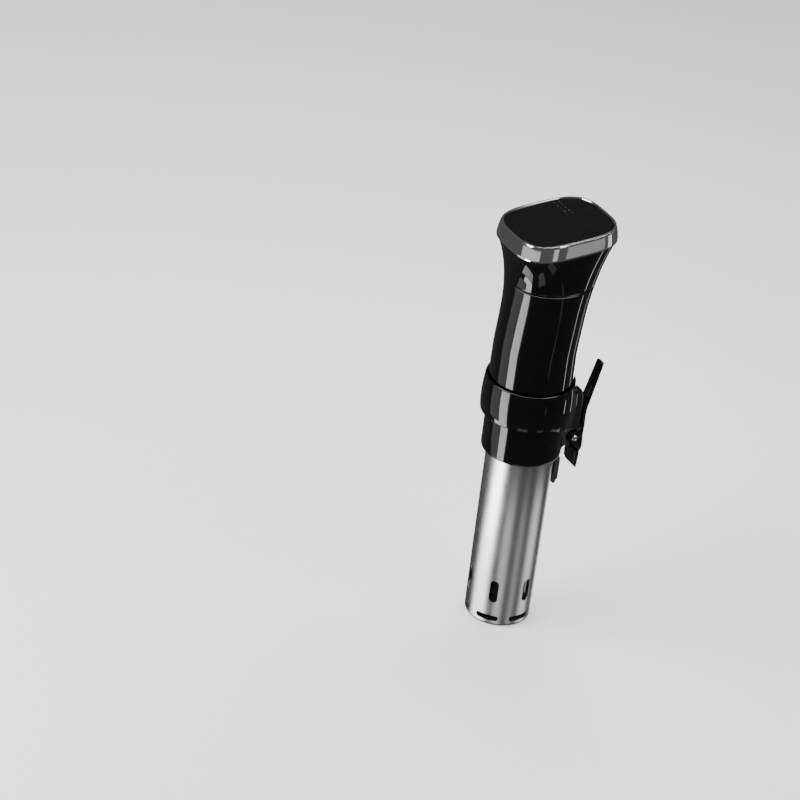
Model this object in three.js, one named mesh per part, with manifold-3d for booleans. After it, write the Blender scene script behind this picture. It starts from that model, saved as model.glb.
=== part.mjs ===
// A sous vide circulator: a steel sleeve with heater and pump below, a round body with the motor,
// a touch panel head on top, and a clamp with a sprung lever that grips the rim of a vessel.
//
// Millimetres, +Z up the sleeve, +Y towards the clamp. Heights are measured from the foot of the
// sleeve. The last lines move the whole object so that its origin is the centre of the fixed jaw's
// pad, the face that meets a vessel's wall.

import * as THREE from "three";
import { mergeVertices } from "three/addons/utils/BufferGeometryUtils.js";
import Module from "manifold-3d";

const wasm = await Module();
wasm.setup();

// ---- driving dimensions -------------------------------------------------------------------------

const GAP = 0.3; // left between neighbouring pieces
const RUNNING = 0.08; // radial clearance round a turning shaft
const FINE = 40; // sides of the large round pieces
const COARSE = 24; // sides of the small ones

const SLEEVE = { radius: 28.75, wall: 0.8, top: 176, footRound: 3.6, footHole: 24 };
const SLOTS = { count: 6, turn: 17, length: 22, width: 7.5, z: 34.5 };
const OUTLETS = { turn: 10, length: 20, width: 5, z: 7.2 };

const BODY = { bottom: 165, lowRadius: 33.7, radius: 35, topRadius: 34.7, seam: 324, bore: 31.4 };
const MOUTH = { radius: 29.2, top: 170 }; // where the sleeve enters the body
const RING = { bottom: 201.5, top: 234, bore: 34.1, topRadius: 37.3, bulge: 39, bulgeZ: 211 };
const LUG = { halfWidth: 16, front: 45.3, bottom: 183.5, top: 214, shoulder: 222, start: 3 };

const HEAD = { halfX: 38.6, halfY: 44.6, roundness: 3.3, shift: 5.2, tilt: 6, rim: 361 };
const FLARE = { start: 285, power: 2.5, leanStart: 262 }; // where the body widens and leans to the head

const PIN = { y: 43.7, z: 172.3, radius: 2, hole: 2.3, halfLength: 14.4, headRadius: 2.7 };
const JAW = { halfWidth: 8.5, back: 31, front: 34.4, foot: 126.4, padFace: 36.4, padThick: 1.7 };
const LEVER = { halfWidth: 12.6, tipHalfWidth: 4.3, padFace: 49.4, foot: 140, tip: 236.5 };
const PADS = { z: 141, halfWidth: 8, height: 22, leverZ: 149, leverHeight: 13, leverThick: 1.5 };
const EAR = { radius: 6, halfWidth: 1.8 };
const SPRING = { radius: 3.6, wire: 0.55, turns: 4.5, pitch: 1.5 };

const CAP = { lip: 0.6, thick: 1.6 };
const SHAFT = { radius: 2.5, foot: 4.6, join: 189, tip: 246 };
const SHAFT_SEAL = { bottom: 169, top: 175 };
const SHAFT_BUSH = { bottom: 176, top: 183.4 };
const COUPLING = { radius: 6, bottom: 185, top: 193 };
const BULKHEAD = { bottom: 168, flange: 178, top: 184, spigot: 27.4, boreForSeal: 6 };
const SEAL = { z: 172, groove: 25.6, grooveHalf: 1.4, centre: 26.85, section: 0.95 };
const MOTOR = { radius: 17.5, wall: 1.3, bottom: 201.3, top: 232 };
const MOUNT = { bottom: 196, thick: 2.4, radius: 26.5, bore: 7.2, legRadius: 3.4 };
const MAGNET = { outer: 15.9, inner: 14.4, bottom: 204, top: 229 };
const CORE = { radius: 13.9, bottom: 205, top: 227 };
const SCREWS = { count: 3, at: 22.5, first: 90, hole: 1.6 };
const SCREW = { radius: 1.2, foot: 191, headRadius: 2.6, head: 1.8 };

const GUIDES = { count: 3, radius: 2, at: 23.6, first: 30 };
const PUMP = { plate: 14, plateThick: 2.6, plateRadius: 27.2, eyes: 5, eye: 3.2, eyeAt: 9.5 };
const IMPELLER = { bottom: 5.2, disc: 10.6, discThick: 1.4, top: 13.4, radius: 20, hub: 6, blades: 6 };
const FAN = { bottom: 236.5, top: 244, radius: 25, hub: 6.5, blades: 7, pitch: 48, chord: 8.4, thick: 1.4 };
const COIL = { radius: 16.3, wire: 2.9, bottom: 66, turns: 4.5, pitch: 10, start: 30, innerLeg: 9.2 };
const PROBES = {
  at: 9.2,
  hole: 2.2,
  rods: [
    { name: "temperature_probe", angle: 120, radius: 1.8, foot: 72 },
    { name: "level_rod_long", angle: 180, radius: 1.5, foot: 84 },
    { name: "level_rod_short", angle: 240, radius: 1.5, foot: 128 },
  ],
};

const BOARD = { width: 46, back: -13, thick: 1.6, bottom: 251, top: 317 };
const CARRIER = { bottom: 247.4, top: 249.6, bore: 24, postAt: 20, postHalf: 1.6, postDepth: 3.2 };
const TRANSFORMER = { x: [-20, 2], z: [256, 281], depth: 16 };
const RELAY = { x: [6, 20], z: [254, 272], depth: 13 };
const CAPACITOR = { x: 12, radius: 6, bottom: 282, top: 306 };
const HEAT_SINK = { x: [-20, 0], z: [286, 312], base: 3, depth: 13, fins: 5, finHalf: 0.9, edge: 1.2 };
const DISPLAY = { halfX: 22, halfY: 15, bottom: 1, top: 6.2 };
const GLAND = { z: 300, hole: 6, radius: 5.7, bore: 3.6, flange: 8 };
const VENTS = { count: 5, length: 26, width: 2.6, first: 258, step: 6 };

const DEGREE = Math.PI / 180;

// ---- materials ----------------------------------------------------------------------------------

const look = (color, roughness, metalness) => ({ color, roughness, metalness });
const LOOKS = {
  glossBlack: look(0x0b0b0d, 0.12, 0),
  panelBlack: look(0x050507, 0.06, 0),
  softBlack: look(0x17181a, 0.55, 0),
  chrome: look(0xd9dadc, 0.08, 1),
  steel: look(0xb9b7b2, 0.32, 1),
  rubber: look(0x1d1d1e, 0.85, 0),
  boardGreen: look(0x1d5a38, 0.5, 0),
  copper: look(0xb3703c, 0.35, 1),
  aluminium: look(0xb5b8bb, 0.4, 1),
  paleNylon: look(0xd8d4c6, 0.6, 0),
};

function named(name, lookName, geometry) {
  const mesh = new THREE.Mesh(geometry, new THREE.MeshStandardMaterial(LOOKS[lookName]));
  mesh.name = name;
  return mesh;
}

// ---- shape helpers ------------------------------------------------------------------------------

// A profile of [radius, z] pairs turned about Z. It runs anticlockwise with radius to the right,
// and either starts and ends on the axis or is closed here.
function turned(profile, segments = COARSE) {
  const points = profile.map(([radius, z]) => new THREE.Vector2(radius, z));
  if (profile[0][0] > 0) points.push(points[0].clone());
  return new THREE.LatheGeometry(points, segments).rotateX(Math.PI / 2);
}

const rod = (radius, bottom, top, segments = 16) =>
  turned([[0, bottom], [radius, bottom], [radius, top], [0, top]], segments);

const washer = (outer, bore, bottom, top, segments = COARSE) =>
  turned([[bore, bottom], [outer, bottom], [outer, top], [bore, top]], segments);

// Points of an arc, angles in degrees, both ends included.
function arc(centreX, centreY, radius, from, to, steps) {
  return Array.from({ length: steps + 1 }, (_, i) => {
    const angle = (from + ((to - from) * i) / steps) * DEGREE;
    return [centreX + radius * Math.cos(angle), centreY + radius * Math.sin(angle)];
  });
}

const block = (x, y, z) =>
  new THREE.BoxGeometry(x[1] - x[0], y[1] - y[0], z[1] - z[0])
    .translate((x[0] + x[1]) / 2, (y[0] + y[1]) / 2, (z[0] + z[1]) / 2);

const shapeOf = (pairs) => new THREE.Shape(pairs.map(([a, b]) => new THREE.Vector2(a, b)));

function extruded(shape, depth) {
  return new THREE.ExtrudeGeometry(shape, { depth, bevelEnabled: false, steps: 1, curveSegments: 3 });
}

// Lays a solid drawn in x, y and extruded along z so that it is drawn in y, z and extruded along x.
const facingX = (geometry) => geometry.rotateX(Math.PI / 2).rotateZ(Math.PI / 2);

// An outline of [y, z] pairs drawn through from x = -halfWidth to +halfWidth.
const drawnAlongX = (pairs, halfWidth) =>
  facingX(extruded(shapeOf(pairs), 2 * halfWidth)).translate(-halfWidth, 0, 0);

// An outline of [x, z] pairs drawn through from y = from to y = to.
const drawnAlongY = (pairs, from, to) =>
  extruded(shapeOf(pairs), to - from).rotateX(Math.PI / 2).translate(0, to, 0);

// An outline of [x, y] pairs drawn up from z = bottom to z = top.
const drawnUp = (pairs, bottom, top) => extruded(shapeOf(pairs), top - bottom).translate(0, 0, bottom);

// A round-ended bar that cuts through a wall at +X, at this radius and height.
function radialSlot({ length, width, z }, radius, upright) {
  const half = (length - width) / 2;
  const shape = new THREE.Shape();
  shape.absarc(half, 0, width / 2, -Math.PI / 2, Math.PI / 2);
  shape.absarc(-half, 0, width / 2, Math.PI / 2, (3 * Math.PI) / 2);
  const depth = 12;
  const bar = extruded(shape, depth).rotateZ(upright ? Math.PI / 2 : 0);
  return facingX(bar).translate(radius - depth / 2, 0, z);
}

const swung = (geometry, degrees) => geometry.clone().rotateZ(degrees * DEGREE);

function around(count, first, make) {
  return Array.from({ length: count }, (_, i) => make(first + (360 / count) * i, i + 1));
}

const at = (radius, degrees, z) =>
  new THREE.Vector3(radius * Math.cos(degrees * DEGREE), radius * Math.sin(degrees * DEGREE), z);

function wire(points, radius, steps, sides) {
  const section = new THREE.Shape(arc(0, 0, radius, 0, 360 - 360 / sides, sides - 1)
    .map(([x, y]) => new THREE.Vector2(x, y)));
  const extrudePath = new THREE.CatmullRomCurve3(points, false, "centripetal");
  return new THREE.ExtrudeGeometry(section, { steps, bevelEnabled: false, extrudePath });
}

// ---- booleans -----------------------------------------------------------------------------------

function solid(geometry) {
  const bare = geometry.clone();
  bare.deleteAttribute("normal");
  bare.deleteAttribute("uv");
  const merged = mergeVertices(bare, 1e-4);
  return new wasm.Manifold(
    new wasm.Mesh({
      numProp: 3,
      vertProperties: merged.getAttribute("position").array,
      triVerts: new Uint32Array(merged.index.array),
    }),
  );
}

function geometryOf(manifold) {
  const mesh = manifold.getMesh();
  const geometry = new THREE.BufferGeometry();
  geometry.setAttribute("position", new THREE.BufferAttribute(mesh.vertProperties, mesh.numProp));
  geometry.setIndex(new THREE.BufferAttribute(mesh.triVerts, 1));
  geometry.computeVertexNormals();
  return geometry;
}

const fused = (pieces) => geometryOf(pieces.map(solid).reduce((a, b) => a.add(b)));
const carved = (base, cutters) => geometryOf(cutters.map(solid).reduce((a, b) => a.subtract(b), solid(base)));
const common = (a, b) => geometryOf(solid(a).intersect(solid(b)));

// ---- the sleeve, which pulls off downwards ------------------------------------------------------

function steelSleeve() {
  const { radius, wall, top, footRound, footHole } = SLEEVE;
  const centre = radius - footRound;
  const tube = turned([
    [footHole, 0],
    ...arc(centre, footRound, footRound, -90, 0, 3),
    [radius, top],
    [radius - wall, top],
    ...arc(centre, footRound, footRound - wall, 0, -90, 3),
    [footHole, wall],
  ], FINE);
  const intake = radialSlot(SLOTS, radius, true);
  const outlet = radialSlot(OUTLETS, radius, false);
  const intakes = around(SLOTS.count, SLOTS.turn, (angle) => swung(intake, angle));
  const outlets = around(SLOTS.count, OUTLETS.turn, (angle) => swung(outlet, angle));
  return named("steel_sleeve", "steel", carved(tube, [...intakes, ...outlets]));
}

function endCap() {
  const plug = SLEEVE.footHole - GAP;
  const flange = SLEEVE.footHole + CAP.lip;
  const step = SLEEVE.wall + GAP;
  const top = step + CAP.thick;
  const profile = [[0, 0], [plug, 0], [plug, step], [flange, step], [flange, top], [0, top]];
  return named("end_cap", "softBlack", turned(profile));
}

// ---- wet parts inside the sleeve ----------------------------------------------------------------

function pumpPlate() {
  const { plate, plateThick, plateRadius } = PUMP;
  const disc = washer(plateRadius, SHAFT.radius + RUNNING, plate, plate + plateThick);
  const eye = rod(PUMP.eye, plate - 1, plate + plateThick + 1, 12).translate(PUMP.eyeAt, 0, 0);
  const eyes = around(PUMP.eyes, 0, (angle) => swung(eye, angle));
  return named("pump_plate", "softBlack", carved(disc, eyes));
}

function guideRod(angle, number) {
  const bottom = PUMP.plate + PUMP.plateThick + GAP;
  const column = rod(GUIDES.radius, bottom, BULKHEAD.bottom - GAP, 12).translate(GUIDES.at, 0, 0);
  return named(`guide_rod_${number}`, "steel", swung(column, angle));
}

// The sheathed element goes down inside the coil, winds up round it and ends in a second leg.
function heaterCoil() {
  const { radius, bottom, turns, pitch, start, innerLeg } = COIL;
  const top = BULKHEAD.top + 3;
  const rise = 8; // straight stretch above the last turn
  const tuck = 2.6; // how far inside the coil the first bend stays
  const turnPoints = Array.from({ length: turns * 8 + 1 }, (_, i) =>
    at(radius, start + i * 45, bottom + (i / 8) * pitch));
  const end = turnPoints[turnPoints.length - 1];
  const points = [
    new THREE.Vector3(innerLeg, 0, top),
    new THREE.Vector3(innerLeg, 0, (top + bottom) / 2),
    new THREE.Vector3(innerLeg, 0, bottom + rise + 1),
    at(radius - tuck, start / 2, bottom + 0.8),
    ...turnPoints,
    new THREE.Vector3(end.x, end.y, end.z + rise),
    new THREE.Vector3(end.x, end.y, top),
  ];
  return named("heater_coil", "steel", wire(points, COIL.wire, 64, 6));
}

function probe({ name, angle, radius, foot }) {
  const { x, y } = at(PROBES.at, angle, 0);
  return named(name, "steel", rod(radius, foot, BULKHEAD.top + 2, 12).translate(x, y, 0));
}

const shaftBore = ({ bottom, top }) => rod(SHAFT.radius + GAP, bottom - 1, top + 1);

function impeller() {
  const { bottom, disc, discThick, top, radius, hub, blades } = IMPELLER;
  const reach = [hub - 1.5, radius - 0.5];
  const sweep = 2.5; // how far each blade is set off the radius
  const blade = block(reach, [-0.8, 0.8], [bottom, disc + 0.4]).translate(0, sweep, 0);
  const wheel = fused([
    rod(hub, bottom, top),
    rod(radius, disc, disc + discThick, COARSE),
    ...around(blades, 0, (angle) => swung(blade, angle)),
  ]);
  return named("impeller", "softBlack", carved(wheel, [shaftBore(IMPELLER)]));
}

const impellerShaft = () =>
  named("impeller_shaft", "steel", rod(SHAFT.radius, SHAFT.foot, SHAFT.join - GAP));

// ---- between the wet and the dry side -----------------------------------------------------------

function bulkhead() {
  const { bottom, flange, top, spigot, boreForSeal } = BULKHEAD;
  const disc = turned([
    [boreForSeal, bottom],
    [spigot, bottom],
    [spigot, SEAL.z - SEAL.grooveHalf],
    [SEAL.groove, SEAL.z - SEAL.grooveHalf],
    [SEAL.groove, SEAL.z + SEAL.grooveHalf],
    [spigot, SEAL.z + SEAL.grooveHalf],
    [spigot, flange],
    [BODY.bore - GAP, flange],
    [BODY.bore - GAP, top],
    [boreForSeal, top],
  ]);
  const hole = (radius, distance, angle) => {
    const { x, y } = at(distance, angle, 0);
    return rod(radius, bottom - 1, top + 1, 12).translate(x, y, 0);
  };
  const heaterHole = COIL.wire + GAP;
  const lastTurn = COIL.start + COIL.turns * 360;
  const holes = [hole(heaterHole, COIL.innerLeg, 0), hole(heaterHole, COIL.radius, lastTurn)];
  for (const { angle } of PROBES.rods) holes.push(hole(PROBES.hole, PROBES.at, angle));
  return named("bulkhead", "paleNylon", carved(disc, holes));
}

function sleeveSeal() {
  const cross = arc(SEAL.centre, SEAL.z, SEAL.section, 0, 300, 5);
  return named("sleeve_seal", "rubber", turned(cross));
}

function shaftSleeve(name, lookName, { bottom, top }) {
  return named(name, lookName, washer(BULKHEAD.boreForSeal - GAP, SHAFT.radius + RUNNING, bottom, top));
}

const coupling = () =>
  named("shaft_coupling", "aluminium",
    washer(COUPLING.radius, SHAFT.radius + GAP, COUPLING.bottom, COUPLING.top));

// ---- motor and fan ------------------------------------------------------------------------------

function motorMount() {
  const { bottom, thick, radius, bore, legRadius } = MOUNT;
  const plate = washer(radius, bore, bottom, bottom + thick, COARSE);
  const leg = rod(legRadius, BULKHEAD.top + GAP, bottom + 0.5, 16).translate(SCREWS.at, 0, 0);
  const hole = rod(SCREWS.hole, SCREW.foot - 1, bottom + thick + 1, 12).translate(SCREWS.at, 0, 0);
  const legs = around(SCREWS.count, SCREWS.first, (angle) => swung(leg, angle));
  const holes = around(SCREWS.count, SCREWS.first, (angle) => swung(hole, angle));
  return named("motor_mount", "aluminium", carved(fused([plate, ...legs]), holes));
}

function motorScrew(angle, number) {
  const { radius, foot, headRadius, head } = SCREW;
  const seat = MOUNT.bottom + MOUNT.thick + GAP;
  const top = seat + head;
  const shank = [[0, foot], [radius, foot], [radius, seat]];
  const profile = [...shank, [headRadius, seat], [headRadius, top], [0, top]];
  const screw = turned(profile, 12).translate(SCREWS.at, 0, 0);
  return named(`motor_screw_${number}`, "steel", swung(screw, angle));
}

function motorEndPlate() {
  const bottom = MOUNT.bottom + MOUNT.thick + GAP;
  const plate = washer(MOTOR.radius, SHAFT.radius + RUNNING, bottom, MOTOR.bottom - GAP);
  return named("motor_end_plate", "aluminium", plate);
}

function motorCan() {
  const { radius, wall, bottom, top } = MOTOR;
  const shaftHole = SHAFT.radius + RUNNING;
  const cup = [
    [radius - wall, bottom],
    [radius, bottom],
    [radius, top - 1],
    [radius - 1, top],
    [shaftHole, top],
    [shaftHole, top - wall],
    [radius - wall, top - wall],
  ];
  return named("motor_can", "steel", turned(cup));
}

const motorMagnet = () =>
  named("motor_magnet", "softBlack", washer(MAGNET.outer, MAGNET.inner, MAGNET.bottom, MAGNET.top));

function motorRotor() {
  const profile = [
    [0, SHAFT.join + GAP],
    [SHAFT.radius, SHAFT.join + GAP],
    [SHAFT.radius, CORE.bottom],
    [CORE.radius, CORE.bottom],
    [CORE.radius, CORE.top],
    [SHAFT.radius, CORE.top],
    [SHAFT.radius, SHAFT.tip],
    [0, SHAFT.tip],
  ];
  return named("motor_rotor", "copper", turned(profile));
}

function coolingFan() {
  const { bottom, top, radius, hub, blades, pitch, chord, thick } = FAN;
  const blade = block([hub - 2, radius], [-thick / 2, thick / 2], [-chord / 2, chord / 2])
    .rotateX(pitch * DEGREE)
    .translate(0, 0, (bottom + top) / 2);
  const wheel = fused([rod(hub, bottom, top), ...around(blades, 0, (angle) => swung(blade, angle))]);
  return named("cooling_fan", "paleNylon", carved(wheel, [shaftBore(FAN)]));
}

// ---- body shell and what it holds above the motor -----------------------------------------------

function bodyShell() {
  const { bottom, lowRadius, radius, topRadius, seam, bore } = BODY;
  const bottomRound = 2.4;
  const seamRound = 0.8;
  const top = seam - 0.4;
  const levels = [FLARE.leanStart, 284, 298, 312];
  const wall = flared(turned([
    [MOUTH.radius, bottom],
    ...arc(lowRadius - bottomRound, bottom + bottomRound, bottomRound, -90, 0, 4),
    [lowRadius, RING.top + 0.6],
    [radius, RING.top + 1.4],
    ...levels.map((z) => [topRadius, z]),
    ...arc(topRadius - seamRound, top - seamRound, seamRound, 0, 90, 3),
    [bore, top],
    ...levels.toReversed().map((z) => [bore, z]),
    [bore, MOUTH.top + 1],
    [MOUTH.radius, MOUTH.top],
  ], FINE));
  const cordHole = rod(GLAND.hole, bore - 2, radius + 2, COARSE)
    .rotateY(-Math.PI / 2)
    .translate(0, leaned(GLAND.z), GLAND.z);
  const vents = Array.from({ length: VENTS.count }, (_, i) =>
    swung(radialSlot({ ...VENTS, z: VENTS.first + i * VENTS.step }, radius, false), 180));
  return named("body_shell", "glossBlack", carved(wall, [cordHole, ...vents]));
}

function cordGland() {
  const surface = BODY.radius;
  const profile = [
    [GLAND.bore, -5],
    [GLAND.radius, -5],
    [GLAND.radius, GAP],
    [GLAND.flange, GAP],
    [GLAND.flange, 1.6],
    [GLAND.flange - 1.4, 3],
    [GLAND.bore, 3],
  ];
  const gland = turned(profile).rotateY(-Math.PI / 2).translate(-surface, leaned(GLAND.z), GLAND.z);
  return named("cord_gland", "rubber", gland);
}

function boardCarrier() {
  const { bottom, top, bore, postAt, postHalf, postDepth } = CARRIER;
  const foot = washer(BODY.bore - GAP, bore, bottom, top);
  const front = BOARD.back - GAP;
  const post = (x) =>
    block([x - postHalf, x + postHalf], [front - postDepth, front], [top - 1, BOARD.top]);
  return named("board_carrier", "softBlack", fused([foot, post(-postAt), post(postAt)]));
}

function controlBoard() {
  const { width, back, thick, bottom, top } = BOARD;
  const plate = block([-width / 2, width / 2], [back, back + thick], [bottom, top]);
  return named("control_board", "boardGreen", plate);
}

function heatSink(face) {
  const { x, z, base, depth, fins: count, finHalf, edge } = HEAT_SINK;
  const plate = block(x, [face, face + base], z);
  const first = x[0] + edge;
  const spacing = (x[1] - x[0] - 2 * edge) / (count - 1);
  const fins = Array.from({ length: count }, (_, i) => {
    const middle = first + i * spacing;
    return block([middle - finHalf, middle + finHalf], [face + base - 0.5, face + depth], z);
  });
  return named("heat_sink", "aluminium", fused([plate, ...fins]));
}

function boardParts() {
  const face = BOARD.back + BOARD.thick + GAP;
  const boxed = ({ x, z, depth }) => block(x, [face, face + depth], z);
  const { x, radius, bottom, top } = CAPACITOR;
  return [
    named("transformer", "softBlack", boxed(TRANSFORMER)),
    named("relay", "paleNylon", boxed(RELAY)),
    named("capacitor", "aluminium", rod(radius, bottom, top).translate(x, face + radius + GAP, 0)),
    heatSink(face),
  ];
}

// ---- head ---------------------------------------------------------------------------------------

const shareBetween = (z, from, to) => Math.min(1, Math.max(0, (z - from) / (to - from)));

// How far the round body has widened to the head's outline at a height, from 0 to 1.
const grown = (z) => shareBetween(z, FLARE.start, HEAD.rim) ** FLARE.power;

// How far the body's centre has moved towards the clamp at a height.
const leaned = (z) =>
  HEAD.shift * Math.sin((shareBetween(z, FLARE.leanStart, HEAD.rim) * Math.PI) / 2);

// Distance from the head's centre to its soft-cornered outline in a direction.
function outline(angle) {
  const { halfX, halfY, roundness } = HEAD;
  const x = Math.abs(Math.cos(angle) / halfX) ** roundness;
  const y = Math.abs(Math.sin(angle) / halfY) ** roundness;
  return (x + y) ** (-1 / roundness);
}

// Widens a turned solid from the round body to the head's outline, and moves and tilts it with it.
function flared(geometry) {
  const position = geometry.getAttribute("position");
  const point = new THREE.Vector3();
  const slope = Math.tan(HEAD.tilt * DEGREE);
  for (let i = 0; i < position.count; i++) {
    point.fromBufferAttribute(position, i);
    const growth = grown(point.z);
    const angle = Math.atan2(point.y, point.x);
    const widened = 1 + growth * (outline(angle) / BODY.topRadius - 1);
    const y = point.y * widened;
    position.setXYZ(i, point.x * widened, y + leaned(point.z), point.z + growth * slope * y);
  }
  return geometry;
}

// A piece of the head: the radii of its profile are shares of the head's outline.
const headSolid = (profile) =>
  flared(turned(profile.map(([share, z]) => [share * BODY.topRadius, z]), FINE));

function headShell() {
  const levels = [0.03, 0.2, 0.4, 0.6, 0.8, 1];
  const heights = levels.map((share) => BODY.seam + share * (HEAD.rim - BODY.seam));
  const [outer, inner, spigot] = [0.985, 0.925, 0.895];
  const top = HEAD.rim - GAP;
  return named("head_shell", "glossBlack", headSolid([
    [spigot, BODY.seam - 6],
    [spigot, BODY.seam],
    [0.98, BODY.seam + 0.2],
    ...heights.slice(0, -1).map((z, i) => [1 + (outer - 1) * levels[i], z]),
    [outer, top],
    [inner, top],
    ...heights.slice(0, -1).toReversed().map((z) => [inner, z]),
    [spigot - 0.03, BODY.seam],
    [spigot - 0.03, BODY.seam - 6],
  ]));
}

function chromeBezel() {
  const h = HEAD.rim;
  return named("chrome_bezel", "chrome", headSolid([
    [0.93, h],
    [1, h],
    [1.0, h + 1],
    [0.985, h + 6],
    [0.957, h + 11],
    [0.945, h + 12.1],
    [0.91, h + 12.1],
    [0.904, h + 8.6],
    [0.8, h + 8.6],
    [0.8, h + 7],
    [0.89, h + 7],
    [0.93, h + 4],
  ]));
}

// A flat frame with the outline of the head, between two heights above its rim.
function headFrame(outer, inner, bottom, top) {
  const [low, high] = [HEAD.rim + bottom, HEAD.rim + top];
  return headSolid([[inner, low], [outer, low], [outer, high], [inner, high]]);
}

const headPlate = (share, bottom, top) => headFrame(share, 0, bottom, top);

function displayModule() {
  const { halfX, halfY, bottom, top } = DISPLAY;
  const shape = block([-halfX, halfX], [-halfY, halfY], [bottom, top]);
  const module = named("display_module", "aluminium", shape);
  module.position.set(0, HEAD.shift, HEAD.rim);
  module.rotation.x = HEAD.tilt * DEGREE;
  return module;
}

// ---- clamp --------------------------------------------------------------------------------------

function clampRing() {
  const { bottom, top, bore, topRadius, bulge, bulgeZ } = RING;
  const band = turned([
    [bore, bottom],
    [bulge - 3.2, bottom],
    [bulge - 1.2, bottom + 1.2],
    [bulge - 0.2, bottom + 4],
    [bulge, bulgeZ],
    [topRadius + 0.7, top - 8],
    [topRadius, top - 0.8],
    [topRadius - 0.8, top],
    [topRadius - 1.9, top],
    [bore, top - 1.2],
  ], FINE);
  const side = drawnAlongX([
    [LUG.start, bottom],
    [LUG.front, LUG.bottom],
    [LUG.front, LUG.top],
    [LUG.front - 4, LUG.shoulder],
    [LUG.start, LUG.shoulder + 4],
  ], bulge);
  const plan = drawnUp([
    [bulge - 1.4, LUG.start],
    [LUG.halfWidth, LUG.front],
    [-LUG.halfWidth, LUG.front],
    [-bulge + 1.4, LUG.start],
  ], LUG.bottom - 1, top);
  const hole = rod(bore, LUG.bottom - 2, top + 2, FINE);
  return named("clamp_ring", "glossBlack", carved(fused([band, common(side, plan)]), [hole]));
}

const pinHole = () => rod(PIN.hole, -30, 30).rotateY(Math.PI / 2).translate(0, PIN.y, PIN.z);

// The lug's sloping underside, at a distance from the axis.
const lugUnderside = (y) =>
  RING.bottom - ((y - LUG.start) * (RING.bottom - LUG.bottom)) / (LUG.front - LUG.start);

function fixedJaw() {
  const { halfWidth, back, front, foot } = JAW;
  const wall = BODY.lowRadius + 0.5;
  const nose = PIN.y + 3.2;
  const chin = PIN.z - 8.7;
  const leg = drawnAlongX([
    [back, foot + 1.6],
    [back + 1.4, foot],
    [front, foot + 1.6],
    [front, chin - 6],
    [front + 2.4, chin],
    [nose - 3.6, chin],
    [nose, chin + 4],
    [nose, PIN.z + 6.7],
    [LUG.front, lugUnderside(LUG.front) - 0.5],
    [wall, lugUnderside(wall) - 0.5],
    [wall, BODY.bottom - 1.2],
    [back, BODY.bottom - 1.2],
  ], halfWidth);
  const springWindow = block([-4.6, 4.6], [PIN.y - 4.6, nose + 1], [PIN.z - 6, PIN.z + 7.5]);
  return named("fixed_jaw", "softBlack", carved(leg, [springWindow, pinHole()]));
}

function pad(name, from, to, z, height) {
  const x = [-PADS.halfWidth, PADS.halfWidth];
  return named(name, "rubber", block(x, [from, to], [z - height / 2, z + height / 2]));
}

function pivotPin() {
  const { radius, headRadius, halfLength } = PIN;
  const head = halfLength - 1.5;
  const profile = [
    [0, -halfLength],
    [radius, -halfLength],
    [radius, head],
    [headRadius, head],
    [headRadius, head + 0.7],
    [headRadius - 0.9, halfLength],
    [0, halfLength],
  ];
  return named("pivot_pin", "steel", turned(profile, 16).rotateY(Math.PI / 2).translate(0, PIN.y, PIN.z));
}

function torsionSpring() {
  const { radius, turns, pitch } = SPRING;
  const halfCoil = (turns * pitch) / 2;
  const coil = Array.from({ length: turns * 8 + 1 }, (_, i) => {
    const angle = -i * 45 * DEGREE;
    const y = PIN.y + radius * Math.cos(angle);
    return new THREE.Vector3((i / 8) * pitch - halfCoil, y, PIN.z + radius * Math.sin(angle));
  });
  const points = [
    new THREE.Vector3(-halfCoil, PIN.y + radius + 2.6, PIN.z + 17),
    new THREE.Vector3(-halfCoil, PIN.y + radius + 0.4, PIN.z + 5),
    ...coil,
    new THREE.Vector3(halfCoil, PIN.y - radius, PIN.z + 5),
  ];
  return named("torsion_spring", "steel", wire(points, SPRING.wire, 48, 4));
}

function clampLever() {
  const { halfWidth, tipHalfWidth, foot, tip } = LEVER;
  const side = drawnAlongX([
    [51.3, foot],
    [53.2, foot],
    [53.8, foot + 2],
    [53.6, 160],
    [52.6, 174],
    [52.6, 181],
    [55, 190.5],
    [60.3, 203],
    [64.5, 219.5],
    [68.3, tip - 1],
    [66.9, tip],
    [65.3, tip - 0.6],
    [61.1, 219.5],
    [56.9, 204],
    [51.6, 191],
    [49.3, 183],
    [49.3, 162],
    [51.3, 157.5],
  ], halfWidth);
  const front = drawnAlongY([
    [-9, foot - 1],
    [9, foot - 1],
    [9, 156],
    [halfWidth, 160],
    [halfWidth, 184],
    [tipHalfWidth + 0.9, 200],
    [tipHalfWidth, tip + 1],
    [-tipHalfWidth, tip + 1],
    [-tipHalfWidth - 0.9, 200],
    [-halfWidth, 184],
    [-halfWidth, 160],
    [-9, 156],
  ], 45, 72);
  const ear = drawnAlongX([
    ...arc(PIN.y, PIN.z, EAR.radius, 100, 250, 6),
    [50.6, 161],
    [51.8, 161],
    [51.8, 182.6],
    [50.6, 182.6],
  ], EAR.halfWidth);
  const ears = [-1, 1].map((hand) => ear.clone().translate(hand * (halfWidth - EAR.halfWidth), 0, 0));
  return named("clamp_lever", "glossBlack", carved(fused([common(side, front), ...ears]), [pinHole()]));
}

// ---- assembly -----------------------------------------------------------------------------------

function groupOf(...meshes) {
  const group = new THREE.Group();
  group.add(...meshes);
  return group;
}

const sleeve = groupOf(steelSleeve(), endCap());

const rotor = groupOf(coolingFan(), motorRotor(), coupling(), impellerShaft(), impeller());

const lever = groupOf(
  clampLever(),
  pad("lever_pad", LEVER.padFace, LEVER.padFace + PADS.leverThick, PADS.leverZ, PADS.leverHeight),
);

const clamp = groupOf(
  clampRing(),
  fixedJaw(),
  pad("jaw_pad", JAW.padFace - JAW.padThick, JAW.padFace, PADS.z, PADS.height),
  pivotPin(),
  torsionSpring(),
);

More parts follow.
